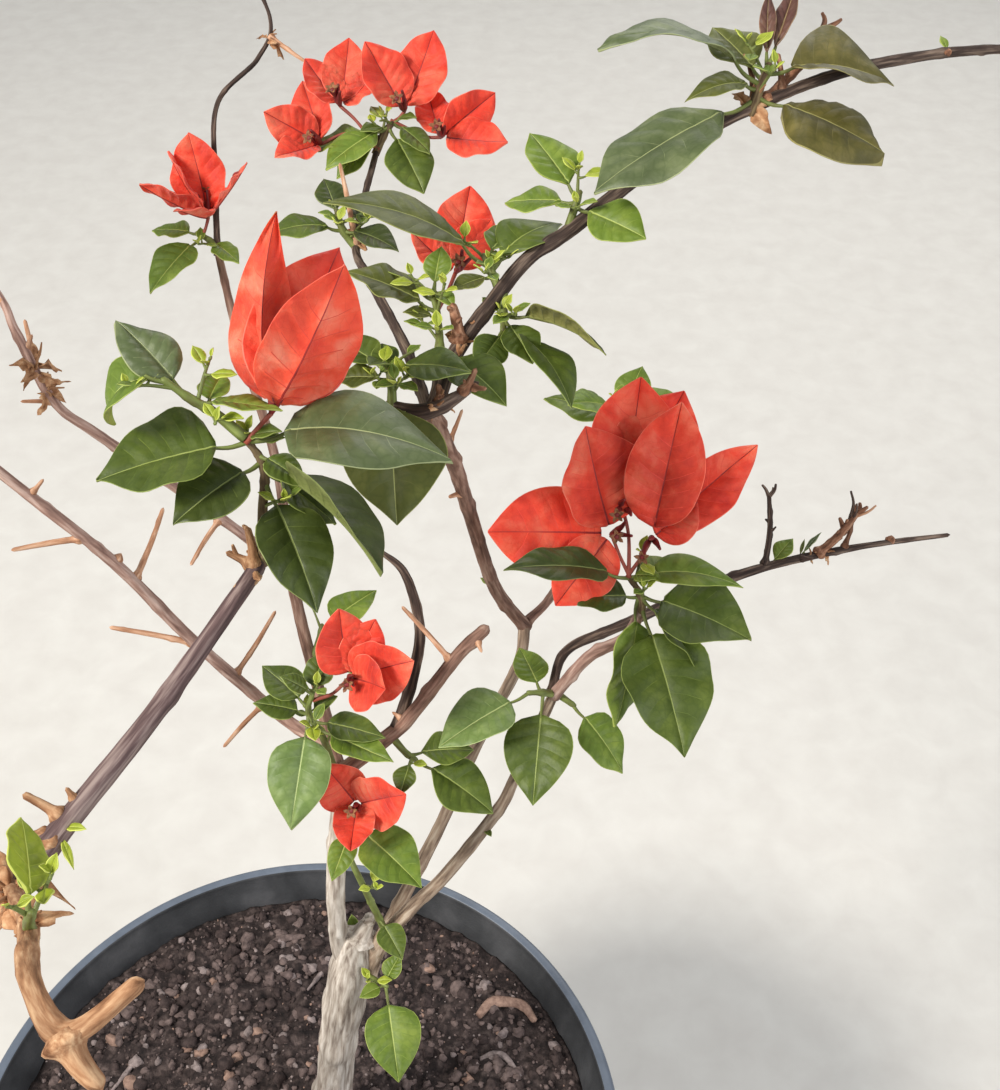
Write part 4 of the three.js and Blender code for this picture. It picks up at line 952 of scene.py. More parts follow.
def blade(pile, frame_at, sizes, shape, veins, looks, style):
    """A leaf or bract: two skins over a grid that follows its side veins, joined at the rim. frame_at is foot, aim
    and side, sizes is length, stalk and half width, looks is upper, under, vein, rib and rim."""
    foot, aim, side = frame_at
    length, stalk, half = sizes
    up = np.cross(side, aim)
    body = length - stalk
    rows, is_vein = blade_rows(veins, style["vein"] / body)
    wide = np.maximum(half * shape_at(shape, rows), LEAST_HALF)[:, None]
    rim = np.minimum(style["rim"] / wide, 0.3)
    rib = np.minimum(style["rib"] * (1.1 - 0.8 * rows[:, None]) / wide, 0.22)
    inner = [share * (1 - rim - rib) + rib for share in INNER_COLUMNS]
    zero = np.zeros_like(rib)
    one = zero + 1
    right = [zero, rib, inner[1], inner[0], 1 - rim, one]
    across = np.concatenate([-np.concatenate(right[:0:-1], axis=1), np.concatenate(right, axis=1)], axis=1)
    lean = (VEIN_LEAN if veins else TINY_LEAN) * np.sin(math.pi * rows)[:, None] * (1.1 - 0.3 * rows[:, None])
    place = np.clip(rows[:, None] + lean * np.abs(across) ** 1.2, 0, 1)
    wide_here = np.maximum(half * shape_at(shape, place), 0.1)
    y = across * wide_here * (1 + style["uneven"] * np.sign(across))
    far = np.abs(across)
    gone = stalk + place * body

    # Height over the blade's plane: puffed between the veins, waved at the rim, crumpled, hollow along the rib
    marks = np.array([0, *veins, 1.0]) if veins else np.array([0, 1.0])
    between = np.interp(rows, marks, np.arange(len(marks)))[:, None] % 1
    puff = np.sin(math.pi * between) ** 2 * np.clip(far * 5, 0, 1) * (1 - far**6) * style["puff"]
    phase = np.where(across < 0, style["phase"], style["phase"] + 2.1)
    wave = style["wave"] * far**2.5 * np.sin(2 * math.pi * place * style["waves"] + phase) * np.sin(math.pi * place)
    at = np.stack([gone, y, np.full_like(y, style["phase"] * 9)], axis=-1)
    crumple = style["crumple"] * (bumps(at, 7.0, 5) + 0.45 * bumps(at, 3.0, 6)) * np.clip(far * 3, 0.2, 1)
    fold = style["fold"] * (1 - 0.35 * place)
    hollow = np.abs(y) * np.sin(fold) * (1 - style["arch"] * far) - 0.14 * (far == 0)
    height = puff + wave + crumple + hollow - style["roll"] * half * far**3
    thick = np.minimum(style["thick"], wide_here * 0.8) * np.where(far > 0.995, 0.5, 1)
    ribbed = style["ridge"] * (1 - 0.8 * place) * (far < rib + 1e-6) * np.where(far == 0, 1.0, 0.5)
    twist = np.radians(style["twist"]) * gone / length
    drop = style["droop"] * length * (gone / length) ** 2
    bend = style["bend"] * length * (gone / length) ** 2
    ahead, tilt = gone - drop * DROOP_PULL, np.zeros_like(gone)
    if style.get("curl"):
        tilt = style["curl"] * gone / length
        ahead, drop = length * np.sin(tilt) / style["curl"], length * (1 - np.cos(tilt)) / style["curl"]

    def placed(rise):
        flat = y * np.cos(fold)
        level = flat * np.cos(twist) - rise * np.sin(twist) + bend
        high = flat * np.sin(twist) + rise * np.cos(twist)
        over, on = high * np.cos(tilt) - drop, high * np.sin(tilt) + ahead
        return foot + on[..., None] * aim + level[..., None] * side + over[..., None] * up

    top, under = placed(height), placed(height - thick - ribbed)
    lines, columns = y.shape
    upper = np.arange(lines * columns).reshape(lines, columns)
    lower = upper + lines * columns

    def skin(grid, flip=False):
        """Two triangles a square, on the same diagonal in both skins so that they never cross"""
        a, b, c, d = grid[:-1, :-1], grid[:-1, 1:], grid[1:, 1:], grid[1:, :-1]
        none = np.full_like(a, -1)
        halves = ((c, b, a, none), (d, c, a, none)) if flip else ((a, b, c, none), (a, c, d, none))
        return np.stack([np.stack(half, axis=-1) for half in halves], axis=2).reshape(-1, 4)

    def strip(first, second):
        return np.stack([first[:-1], first[1:], second[1:], second[:-1]], axis=-1)

    column = np.broadcast_to(np.arange(columns - 1), (lines - 1, columns - 1))
    is_rim = (column == 0) | (column == columns - 2)
    is_rib = (column == columns // 2) | (column == columns // 2 - 1)
    veined = np.broadcast_to(is_vein[:, None], column.shape) & (column > 1) & (column < columns - 3)
    names = [pile.looks.index(look) for look in looks]
    marked = np.where(is_rim, names[4], np.where(is_rib, names[3], np.where(veined, names[2], names[0])))
    below = np.where(is_rim, names[1], np.where(is_rib, names[3], np.where(veined, names[2], names[1])))
    edges = [(upper[:, 0], lower[:, 0]), (lower[:, -1], upper[:, -1]), (lower[0], upper[0]), (upper[-1], lower[-1])]
    rims = np.concatenate([strip(first, second) for first, second in edges])
    faces = np.concatenate([skin(upper), skin(lower, True), rims])
    mark = np.concatenate([np.repeat(marked, 2), np.repeat(below, 2), np.full(len(rims), names[4])])
    pile.add(np.concatenate([top.reshape(-1, 3), under.reshape(-1, 3)]), faces, mark)


# Leaves that the photograph shows with a look of their own, by spray and number: tone, narrowness (above 1 is
# broader), aim as turn and rise, and style as leaf_style gives it
LEAF_CHANGES = {
    # The grey tone given to some leaves below holds a painted sheen in its colour
    ("front_spray", 0): dict(narrow=1.25),
    ("front_spray", 1): dict(narrow=1.2),
    ("front_spray", 2): dict(narrow=0.98, fold=0.2, droop=0.5, tone="grey", wave=1.4),
    ("front_spray", 3): dict(narrow=1.4, fold=0.4),
    ("front_spray", 4): dict(narrow=0.85),
    ("left_curl_spray", 0): dict(fold=0.35, curl=2.5, droop=0.3, tone="fresh", narrow=1.3, twist=0),
    ("left_curl_spray", 1): dict(fold=0.6, roll=0.35, tone="grey"),
    ("low_spray", 0): dict(tone="pale_green", fold=0.5, narrow=0.98, roll=0.2),
    ("low_spray", 4): dict(narrow=0.75, aim=(-14, 6)),
    ("low_spray", 5): dict(narrow=0.7, aim=(-30, 2), droop=0.05),
    ("low_front_spray", 3): dict(narrow=0.8),
    ("middle_spray", 0): dict(tone="pale_green"),
    ("right_spray", 1): dict(narrow=1.3, fold=0.2),
    ("right_spray", 4): dict(aim=(-5, 34), droop=0.55, narrow=0.75, tone="fresh", fold=0.45),
    ("right_spray", 7): dict(aim=(-97, -48), narrow=0.75, tone="fresh"),
    ("arch_spray_low", 4): dict(tone="mid", narrow=1.1, fold=0.45),
    ("centre_spray", 0): dict(tone="olive", narrow=1.15, fold=0.2),
    ("arch_spray_low", 0): dict(narrow=0.7, fold=0.2, tone="olive"),
    ("right_spray", 3): dict(narrow=0.58, fold=0.15, tone="deep"),
    ("arch_tip_spray", 0): dict(narrow=0.8, fold=0.25, aim=(172, 51), curl=1.3, tone="grey", twist=4),
    ("arch_tip_spray", 1): dict(narrow=0.92, fold=0.2, wave=2.6, waves=1.3, tone="grey"),
    ("arch_tip_spray", 3): dict(narrow=1.45, tone="bronze", fold=0.5),
    ("arch_tip_spray", 4): dict(narrow=1.45, tone="bronze", fold=0.2, roll=0.2),
    ("arch_tip_spray", 5): dict(narrow=0.42, tone="plum", fold=0.7),
    ("arch_tip_spray", 6): dict(narrow=0.42, tone="plum", fold=0.7),
    ("arch_tip_spray", 7): dict(narrow=1.1, tone="olive"),
}

# More leaves than the source has, written as its leaves are, and not tested against the limbs
EXTRA_LEAVES = {"arch_spray_low": [[0.6, 45, 48, 30, 0.6, 0]]}

# Single small leaves on bare wood: limb, place along it, turn, rise, length, narrowness, tone
LONE_LEAVES = [
    ["bare_right_twig", 0.65, 42, 40, 15, 0.9, "fresh"], ["bare_right_twig", 0.7, 70, 40, 9, 0.3, "olive"],
    ["bare_right_twig", 0.7, 45, 37, 15, 0.24, "grey"], ["trunk", 0.97, 100, 50, 9, 0.9, "fresh"],
    ["bough_front", 0.3, 20, 40, 8, 0.8, "fresh"], ["bough_front", 0.62, -60, 30, 6, 0.8, "mid"],
    ["bough_back", 0.5, 120, 40, 7, 0.8, "fresh"], ["main_limb", 0.2, 150, 30, 7, 0.8, "mid"],
    ["arch_bough_outer", 0.5, 110, 40, 7, 0.7, "fresh"], ["thorny_branch_upper", 0.5, 120, 50, 8, 0.8, "olive"],
    ["cane_arch", 0.67, -20, 40, 9, 0.5, "young"], ["cane_arch", 0.665, -60, 10, 12, 0.3, "young"],
    ["cane_arch", 0.67, 200, 10, 12, 0.3, "young"], ["cross_stub", 0.15, -120, 40, 7, 0.8, "fresh"],
]
FIRST_SPRAY_SEED = 11
BROAD_SPRAYS = ("front_spray", "left_curl_spray", "middle_spray", "middle_back_spray", "low_spray", "low_front_spray",
                "right_spray", "stem_spray", "left_back_spray", "trunk_shoot", "upper_branch_tip", "lower_branch_tip")


def leaf_style(random, droop, size):
    """How one leaf differs from the next: a fresh draw for each"""
    between = ranged(random)
    return {
        "vein": 0.1, "rim": 0.22, "rib": 0.3 * min(1, size / 30), "puff": 0.02 * min(size, 40),
        "wave": size * between(0.012, 0.035), "waves": between(1.2, 2.4), "phase": between(0, 6.28),
        "crumple": size * 0.006, "fold": LEAF_FOLD * between(0.75, 1.15), "arch": between(0.2, 0.5),
        "roll": between(-0.06, 0.1), "thick": 0.3, "ridge": 0.4 * min(1, size / 30), "twist": between(-9, 9),
        "bend": between(-0.05, 0.05), "droop": droop + between(0, 0.05), "uneven": between(-0.04, 0.04),
    }


def touches_limb(foot, aim, side, length, droop, half):
    """The source's test: a leaf's middle or edges would touch a limb"""
    up = np.cross(side, aim)
    for share in (0.35, 0.6, 0.8, 1):
        drop = droop * length * share**2
        middle = foot + aim * (length * share - drop * DROOP_PULL) - up * drop
        reach = half if share < 1 else 0
        for offset in (-reach, 0, reach):
            point = middle + side * offset
            for axis in limb_axes.values():
                if (np.linalg.norm(axis.centres - point, axis=1) < axis.thick + CLEAR_OF_LIMB).any():
                    return True
    return False


STALK_RADIUS, TINY_STALK_RADIUS = 0.62, 0.4
FRONT_SPRAYS = ("front_spray", "left_curl_spray", "young_cane_spray", "cane_foot_spray", "right_spray")
TOP_SPRAYS = ("arch_", "top_", "inner_", "left_back", "back_")
WOODY_SPRAYS = ("front_spray", "right_spray", "top_spray", "arch_tip_spray")
leaf_piles = {part: Pile(f"leaves_{part}", "foliage", LEAF_LOOKS) for part in ("front", "middle", "top")}
stem_pile = Pile("spray_stems", "foliage", ["stem", "woody_stem", "flower_stalk"])


def leaf_piece(pile, foot, aim, side, length, droop, tone, random, shape, changes):
    """A leaf on its short stalk. changes are what LEAF_CHANGES says of it."""
    stalk = length * LEAF_STALK
    looks = [f"{tone}{part}" for part in SKIN_PARTS]
    veins = LEAF_VEINS if length > TINY_LEAF else ()
    half = length * LEAF_HALF_WIDTH * changes.get("narrow", 1)
    style = leaf_style(random, droop, length) | changes
    blade(pile, (foot, aim, side), (length, stalk, half), shape, veins, looks, style)
    thick = STALK_RADIUS if length > TINY_LEAF else TINY_STALK_RADIUS
    up = np.cross(side, aim)
    end = foot + aim * stalk * 1.12 - up * (style["droop"] * length * (LEAF_STALK * 1.12) ** 2 + 0.25)
    line = Axis(from_rim([foot, (foot + end) / 2 - up * 0.02 * length, end]), [thick * 1.25, thick, thick * 0.7], 1.5)
    tube(stem_pile, line, line.thick, 7, "stem")


def in_box(point, low, high):
    return bool((point > low - BOX_SPARE).all() and (point < high + BOX_SPARE).all())


def finer_twigs(pile, axis, spray, random):
    """Short twigs with tiny leaves, kept inside the spray's own space"""
    low, high = (np.array(corner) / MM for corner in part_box(spray.name))
    first = 360 * next(random)
    many = FINER_TWIGS.get(spray.name, USUAL_FINER_TWIGS)
    for k in range(many):
        place = 0.15 + 0.83 * (k + 0.5) / many
        aim = direction(first + GOLDEN_TURN * k + TURN_SPREAD * (next(random) - 0.5), 12 + 58 * next(random))
        length = 5 + 8 * next(random)
        foot = axis.at(place)
        tip = foot + aim * length
        if not in_box(tip, low, high) or touches_limb(foot, aim, level_side(aim), length, 0, 1.0):
            continue
        line = Axis(from_rim([foot, foot + aim * length * 0.55 + [0, 0, 0.6], tip]), [0.6, 0.45, 0.35], 1.2)
        tube(stem_pile, line, line.thick, 6, "stem")
        turn = 360 * next(random)
        for leaf in range(TWIG_LEAVES):
            size = (TWIG_LEAF_LENGTH - 1.2 * leaf) * (0.8 + 0.6 * next(random))
            out = direction(turn + GOLDEN_TURN * leaf, 18 + 18 * leaf)
            start = line.at(min(1.0, 0.55 + 0.15 * leaf))
            if in_box(start + out * size, low, high):
                tone = "young" if leaf > 1 or next(random) < 0.4 else "fresh"
                leaf_piece(pile, start, out, level_side(out), size, 0.1, tone, random, SLIM_SHAPE, {"narrow": 0.85})


def spray_piece(spray, seed):
    """A spray's stem, the leaves of its table and of the seeded rule, and its finer twigs"""
    name = spray.name
    part = "front" if name in FRONT_SPRAYS else "top" if name.startswith(TOP_SPRAYS) else "middle"
    pile = leaf_piles[part]
    pile.stands_for.append(name)
    axis = Axis(spray.stem, STEM_RADII, 1.0)
    axis.centres[0] -= axis.along[0] * 1.5
    look = "woody_stem" if name in WOODY_SPRAYS else "stem"
    places = [leaf[0] for leaf in spray.leaves]
    nodes = sum(np.exp(-(((axis.share - place) * axis.length / 1.1) ** 2)) for place in places) if places else 0
    tube(stem_pile, axis, axis.thick * (1 + 0.22 * np.minimum(nodes, 1)), 12, look)
    random = seeded(seed)
    rows = list(spray.leaves)
    first = 360 * next(random)
    for k in range(spray.more):
        place = 0.35 + 0.65 * (k + 1) / spray.more
        turn = first + GOLDEN_TURN * k + TURN_SPREAD * (next(random) - 0.5)
        rise = 10 + 45 * next(random) * place
        length = spray.size * (0.75 + 0.5 * next(random))
        rows.append([min(1, place), turn, rise, length, 0.1 + 0.25 * next(random), 0])
    tones = TONES.get(name, USUAL_TONES)
    looks = seeded(seed + 100)
    shape = BROAD_SHAPE if name in BROAD_SPRAYS else SLIM_SHAPE
    for number, (place, turn, rise, length, droop, roll) in enumerate(rows + EXTRA_LEAVES.get(name, [])):
        aim = direction(turn, rise)
        side = turned(level_side(aim), aim, roll)
        foot = axis.at(place)
        if number < len(rows) and touches_limb(foot, aim, side, length, droop, length * LEAF_HALF_WIDTH):
            continue
        young = place * (0.75 + 0.5 * next(looks)) - (0.25 if length > 30 else 0)
        changes = LEAF_CHANGES.get((name, number), {})
        if "aim" in changes:
            aim = direction(*changes["aim"])
            side = turned(level_side(aim), aim, roll)
        tone = changes.get("tone", tones[min(len(tones) - 1, int(max(0, young) * len(tones)))])
        leaf_piece(pile, foot, aim, side, length, droop, tone, looks, shape, changes)
    finer_twigs(pile, axis, spray, looks)


for number, spray in enumerate(SPRAYS):
    spray_piece(spray, FIRST_SPRAY_SEED + number)

for name, place, turn, rise, length, narrow, tone in LONE_LEAVES:
    aim = direction(turn, rise)
    random = seeded(int(place * 1000))
    leaf_piece(leaf_piles["middle"], limb_axes[name].at(place), aim, level_side(aim), length, 0.2, tone, random,
               SLIM_SHAPE, {"narrow": narrow})

# Blooms: papery bracts round small dark flowers
bloom_piles = {part: Pile(f"bracts_{part}", "blossom", BRACT_LOOKS) for part in ("near", "far")}
flower_pile = Pile("flowers", "blossom", ["flower_tube", "flower_star", "flower_stalk"])
FLOWERS_PER_HEAD = 3
STAR_SIDES = 20
STAR_RADIUS = 2.0
# How far the flowers reach, as a share of the longest bract, in open heads and in the closed one
OPEN_REACH, CLOSED_REACH = 0.3, 0.16
FAR_BLOOMS = ("bloom_top_right", "bloom_top_left", "bloom_left_back", "bloom_arch")


# Bracts that the photograph shows with a shape of their own, by bloom, head and number. "bract" is turn, rise,
# length and roll in place of the source's.
BRACT_CHANGES = {
    ("bloom_front", 0, 0): dict(bract=(110, 56, 47, 70), fold=1.05, arch=0.0, droop=-0.05, narrow=0.92,
                                twist=0, wave=0.5, bend=-0.25, uneven=0.25, shape=LANCE_SHAPE),
    ("bloom_front", 0, 1): dict(bract=(14, 55, 37, 0), fold=0.24, arch=0.4, droop=-0.27, narrow=1.0,
                                twist=0, wave=0.6, uneven=-0.1),
    ("bloom_front", 0, 2): dict(bract=(72, 27, 44, 36), fold=0.15, droop=-0.16, narrow=0.9, twist=0,
                                wave=0.8),
    ("bloom_front", 0, 3): dict(bract=(80, 26, 37, 0), fold=0.2, droop=-0.12, narrow=0.55, twist=0,
                                wave=0.6),
    ("bloom_low_front", 0, 0): dict(narrow=1.5, fold=0.6, droop=-0.2, shape=CUP_SHAPE),
    ("bloom_low_front", 0, 1): dict(narrow=1.5, fold=0.5, droop=-0.1, shape=CUP_SHAPE),
    ("bloom_low_front", 0, 2): dict(narrow=1.3, fold=0.6, shape=CUP_SHAPE),
    ("bloom_low_upper", 0, 0): dict(narrow=1.25, fold=0.5, shape=CUP_SHAPE),
    ("bloom_low_upper", 0, 1): dict(narrow=1.35, droop=-0.2, shape=CUP_SHAPE),
    ("bloom_low_upper", 0, 3): dict(bract=(-30, 18, 18, 0), narrow=1.6, droop=-0.25),
    ("bloom_right", 0, 0): dict(fold=0.25),
    ("bloom_right", 0, 1): dict(fold=0.25, droop=-0.04),
    ("bloom_right", 0, 2): dict(narrow=1.25),
    ("bloom_right", 1, 0): dict(bract=(76, 48, 43, 0), narrow=1.05),
    ("bloom_right", 2, 0): dict(narrow=0.85, fold=0.5),
    ("bloom_right", 2, 1): dict(narrow=0.62),
    ("bloom_right", 2, 2): dict(bract=(30, 22, 19, 0), narrow=1.3),
}


def bract_piece(pile, centre, axis_aim, bract, random, changes):
    """A bract that turns its hollow side to the axis of its head"""
    turn, rise, length, roll = changes.get("bract", bract)
    aim = direction(turn, rise)
    inward = unit(axis_aim - aim * (axis_aim @ aim))
    side = turned(np.cross(aim, inward), aim, roll)
    between = ranged(random)
    style = {
        "vein": 0.11, "rim": 0.26, "rib": 0.36, "puff": 0.028 * length, "wave": length * between(0.03, 0.07),
        "waves": between(1.6, 3.0), "phase": between(0, 6.28), "crumple": length * 0.017,
        "fold": BRACT_FOLD * between(0.85, 1.1), "arch": between(0.15, 0.35), "roll": between(-0.02, 0.1),
        "thick": 0.26, "ridge": 0.3, "twist": between(-12, 12), "bend": between(-0.05, 0.05),
        "droop": -BRACT_CUP + between(0, 0.04), "uneven": between(-0.05, 0.05),
    }
    sizes = (length, length * BRACT_STALK, length * BRACT_HALF_WIDTH * changes.get("narrow", 1))
    shape = changes.get("shape", BRACT_SHAPE)
    blade(pile, (centre, aim, side), sizes, shape, BRACT_VEINS, BRACT_LOOKS, style | changes)


def flower_piece(foot, aim, length, opened, random):
    """A slim tube, pinched below its mouth, with a small five-pointed star if it has opened"""
    bend = unit(np.cross(aim, [0.2, 0.5, 1])) * length * 0.12 * (next(random) - 0.5)
    route = from_rim([foot, foot + aim * length * 0.5 + bend, foot + aim * length])
    line = Axis(route, [0.6, 1.15, 0.75, 1.3 if opened else 0.5], 0.6)
    tube(flower_pile, line, line.thick, 10, "flower_tube")
    if not opened:
        return
    across = unit(np.cross(aim, [0.1, 0.2, 1]))
    angle = circle(STAR_SIDES)
    ring = np.cos(angle)[:, None] * across + np.sin(angle)[:, None] * np.cross(aim, across)

    def lobed(share, lift):
        reach = STAR_RADIUS * share * (1 + 0.38 * np.cos(5 * angle) * share)
        return line.centres[-1] + ring * reach[:, None] + aim * (lift + 1.2 * share**2)

    shares = (0.35, 0.7, 1.0)
    rings = np.array([lobed(share, -0.25) for share in shares] + [lobed(share, 0) for share in shares[::-1]])
    middles = [rings[0].mean(axis=0), rings[-1].mean(axis=0)]
    faces = tube_faces(len(rings), STAR_SIDES)
    flower_pile.add(np.concatenate([rings.reshape(-1, 3), middles]), faces, "flower_star")


for number, (name, heads) in enumerate(BLOOMS.items()):
    pile = bloom_piles["far" if name in FAR_BLOOMS else "near"]
    pile.stands_for.append(name)
    random = seeded(number + 500)
    for head_number, head in enumerate(heads):
        line = Axis(head.stalk, [0.75, 0.6, 0.7], 1.0)
        line.centres[0] -= line.along[0] * 1.2
        tube(stem_pile, line, line.thick, 8, "flower_stalk")
        centre, aim = line.at(1), direction(*head.axis)
        for count, bract in enumerate(head.bracts):
            changes = BRACT_CHANGES.get((name, head_number, count), {})
            bract_piece(pile, centre, aim, bract, random, changes)
        across = unit(np.cross(aim, [0, 0.3, 1]))
        longest = max(bract[2] for bract in head.bracts)
        reach = CLOSED_REACH if name == "bloom_front" else OPEN_REACH
        for k in range(FLOWERS_PER_HEAD):
            lean = turned(across, aim, 360 / FLOWERS_PER_HEAD * k + 60 * next(random)) * (0.16 + 0.12 * next(random))
            flower_piece(centre, unit(aim + lean), longest * (reach + 0.1 * next(random)), k == 0, random)

# Tufts of curled dead leaves on the old wood
tuft_pile = Pile("dead_tufts", "dead_wood", ["tuft", "dead"])


def tuft_piece(name, place, many, size, seed):
    axis = limb_axes[name]
    between = ranged(seeded(seed))
    for k in range(many):
        foot = axis.at(min(1, max(0, place + between(-3, 3) / axis.length)))
        aim = direction(GOLDEN_TURN * k + between(0, 40), between(-25, 65))
        length = size * between(0.6, 1.15)
        side = turned(level_side(aim), aim, between(-70, 70))
        style = {
            "vein": 0.12, "rim": 0.2, "rib": 0.3, "puff": 0.2, "wave": length * 0.16, "waves": between(1.2, 2.5),
            "phase": between(0, 6.28), "crumple": length * 0.05, "fold": between(0.5, 1.1), "arch": 0.2,
            "roll": between(0.1, 0.5), "thick": 0.35, "ridge": 0.2, "twist": between(-70, 70),
            "bend": between(-0.2, 0.2), "droop": between(0.2, 0.8), "uneven": between(-0.2, 0.2),
        }
        sizes = (length, length * 0.12, length * between(0.24, 0.4))
        blade(tuft_pile, (foot, aim, side), sizes, BROAD_SHAPE, (), ["tuft"] * 5, style)
        if k % 2 == 0:
            tip = foot + direction(GOLDEN_TURN * k + 70, between(10, 70)) * length * 0.9
            route = [foot, (foot + tip) / 2 + [between(-1, 1), between(-1, 1), 0.5], tip]
            line = Axis(from_rim(route), [0.7, 0.5, 0.25], 1.0)
            tube(tuft_pile, line, line.thick, 6, "dead")


for number, (name, place, many, size) in enumerate(TUFTS):
    tuft_piece(name, place, many, size, number + 700)

for pile in (*PILES.values(), *leaf_piles.values(), stem_pile, *bloom_piles.values(), flower_pile, tuft_pile):
    pile.build()


# The pot: one closed skin turned round its axis, with two fine bands below its lip
POT_SIDES = 192
BANDS_BELOW_LIP = (34, 24)
BAND_OUTLINE = ((-1.2, 0), (-0.6, 0.5), (0.6, 0.5), (1.2, 0))


def inner_radius(height):
    return FOOT_RADIUS - WALL + (RIM_RADIUS - 2 * WALL - FOOT_RADIUS) * height / POT_HEIGHT


def outer_radius(height):
    return FOOT_RADIUS + (RIM_RADIUS - WALL - FOOT_RADIUS) * height / POT_HEIGHT


def corner(radius, height, size, start, end):
    """A rounded corner: points on an arc round its centre, from one angle to another in degrees"""
    angle = np.radians(np.linspace(start, end, 6))
    return list(zip(radius + size * np.cos(angle), height + size * np.sin(angle)))


def pot_profile():
    lip_foot = POT_HEIGHT - LIP_DEPTH
    outside = [(40, 0), (90, 0), *corner(FOOT_RADIUS - 2.4, 2.4, 2.4, -90, -10)]
    for height in np.arange(12, lip_foot - 10, 6):
        outside.append((outer_radius(height) + 0.12 * math.sin(height / 7.5), height))
    for below in BANDS_BELOW_LIP:
        for up, rise in BAND_OUTLINE:
            outside.append((outer_radius(lip_foot - below + up) + rise, lip_foot - below + up))
    outside.sort(key=lambda point: point[1])
    lip = [(outer_radius(lip_foot - 1), lip_foot - 1.0), (outer_radius(lip_foot) + 0.8, lip_foot)]
    lip += corner(RIM_RADIUS - 2.4, lip_foot + 2.0, 1.8, -90, 0)
    lip += [(RIM_RADIUS - 0.2, lip_foot + 8), *corner(RIM_RADIUS - 2.6, POT_HEIGHT - 2.6, 2.6, 0, 90)]
    lip += corner(RIM_RADIUS - LIP_WIDTH + 1.8, POT_HEIGHT - 1.8, 1.8, 90, 180)
    ledge = POT_HEIGHT - LIP_INSIDE_DEPTH
    lip_inside = RIM_RADIUS - LIP_WIDTH
    slope = (lip_inside - inner_radius(ledge)) / (LIP_INSIDE_DEPTH - 2)
    inside = [(lip_inside - slope * drop, POT_HEIGHT - 2 - drop) for drop in (1.5, 4, 8, LIP_INSIDE_DEPTH - 2)]
    inside += [(inner_radius(height), height) for height in np.arange(ledge - 8, FLOOR + 4, -12)]
    inside += [(inner_radius(FLOOR), FLOOR), (60, FLOOR)]
    return outside + lip + inside, len(outside) + len(lip) - 4


def lathe(pile, profile, marks):
    """Rings of a profile from the middle of the underside, out, up, over and in again"""
    angle = circle(POT_SIDES)
    profile = np.array(profile)
    rings = np.stack([profile[:, :1] * np.cos(angle), profile[:, :1] * np.sin(angle),
                      np.broadcast_to(profile[:, 1:], (len(profile), POT_SIDES))], axis=-1)
    middles = [[0, 0, profile[0, 1]], [0, 0, profile[-1, 1]]]
    faces = tube_faces(len(profile), POT_SIDES)
    marked = np.concatenate([np.repeat(marks[:-1], POT_SIDES), np.repeat([marks[0], marks[-1]], POT_SIDES)])
    pile.add(np.concatenate([rings.reshape(-1, 3), middles]), faces, marked)


pot_pile = Pile("pot_shell", "pot_plastic", ["pot_plastic", "pot_inside_painted_shade"])
pot_pile.stands_for.append("pot")
profile, painted_shade_from = pot_profile()
# Faces from the inner rounding of the lip inwards take the darker copy of the plastic: painted shade inside the pot
lathe(pot_pile, profile, np.arange(len(profile)) >= painted_shade_from)
pot_pile.build()

# Soil: a closed bed with a crumbly top, and crumbs, bark and twigs on it
SOIL_LEVEL = POT_HEIGHT - SOIL_BELOW_RIM
SOIL_EDGE = inner_radius(SOIL_LEVEL - SOIL_EDGE_DROP) - GAP
TRUNK_FOOT = LIMBS[0].route[0]


def clod_heights():
    """The source's mounded and lumpy soil at each point of its rings, from the edge inwards"""
    turn = np.arange(SOIL_RING_SIDES + 1) * 2 * math.pi / SOIL_RING_SIDES
    reach = SOIL_EDGE * np.array(SOIL_RINGS)[:, None]
    x, y = reach * np.cos(turn), reach * np.sin(turn)
    from_trunk = np.hypot(x - TRUNK_FOOT[0], y - TRUNK_FOOT[1])
    free = np.clip((from_trunk - SEAT_RADIUS) / (SEAT_BLEND - SEAT_RADIUS), 0, 1)
    free = free * free * (3 - 2 * free)
    fall = SOIL_MOUND * (np.hypot(x, y) / SOIL_EDGE) ** 2
    lump = SOIL_LUMP * (np.sin(x / 6.7 + 1) * np.cos(y / 6.2) + 0.6 * np.sin(y / 8 - x / 10.5))
    heights = SOIL_LEVEL + free * (lump - fall)
    heights[0] = SOIL_LEVEL - SOIL_EDGE_DROP
    return heights


CLODS = clod_heights()
SOIL_SINK = 1.6
# Finer lumps of the soil: mm high, mm wide, seed
FINE_LUMPS = ((1.3, 9, 21), (1.5, 5.0, 22), (0.9, 2.4, 23))


def soil_height(x, y):
    """The clods, a little lower so that the crumbs reach their height, with finer lumps"""
    share = np.hypot(x, y) / SOIL_EDGE
    ring = np.interp(-share, -np.array(SOIL_RINGS, float), np.arange(len(SOIL_RINGS)))
    turn = (np.arctan2(y, x) / (2 * math.pi) % 1) * SOIL_RING_SIDES
    ring_low = np.minimum(ring.astype(int), len(SOIL_RINGS) - 2)
    turn_low = np.minimum(turn.astype(int), SOIL_RING_SIDES - 1)
    down, round_ = ring - ring_low, turn - turn_low
    near = CLODS[ring_low, turn_low] * (1 - round_) + CLODS[ring_low, turn_low + 1] * round_
    far = CLODS[ring_low + 1, turn_low] * (1 - round_) + CLODS[ring_low + 1, turn_low + 1] * round_
    at = np.stack([x, y, np.zeros_like(x)], axis=-1)
    lumps = sum(height * bumps(at, size, seed) for height, size, seed in FINE_LUMPS)
    return near * (1 - down) + far * down - SOIL_SINK + lumps


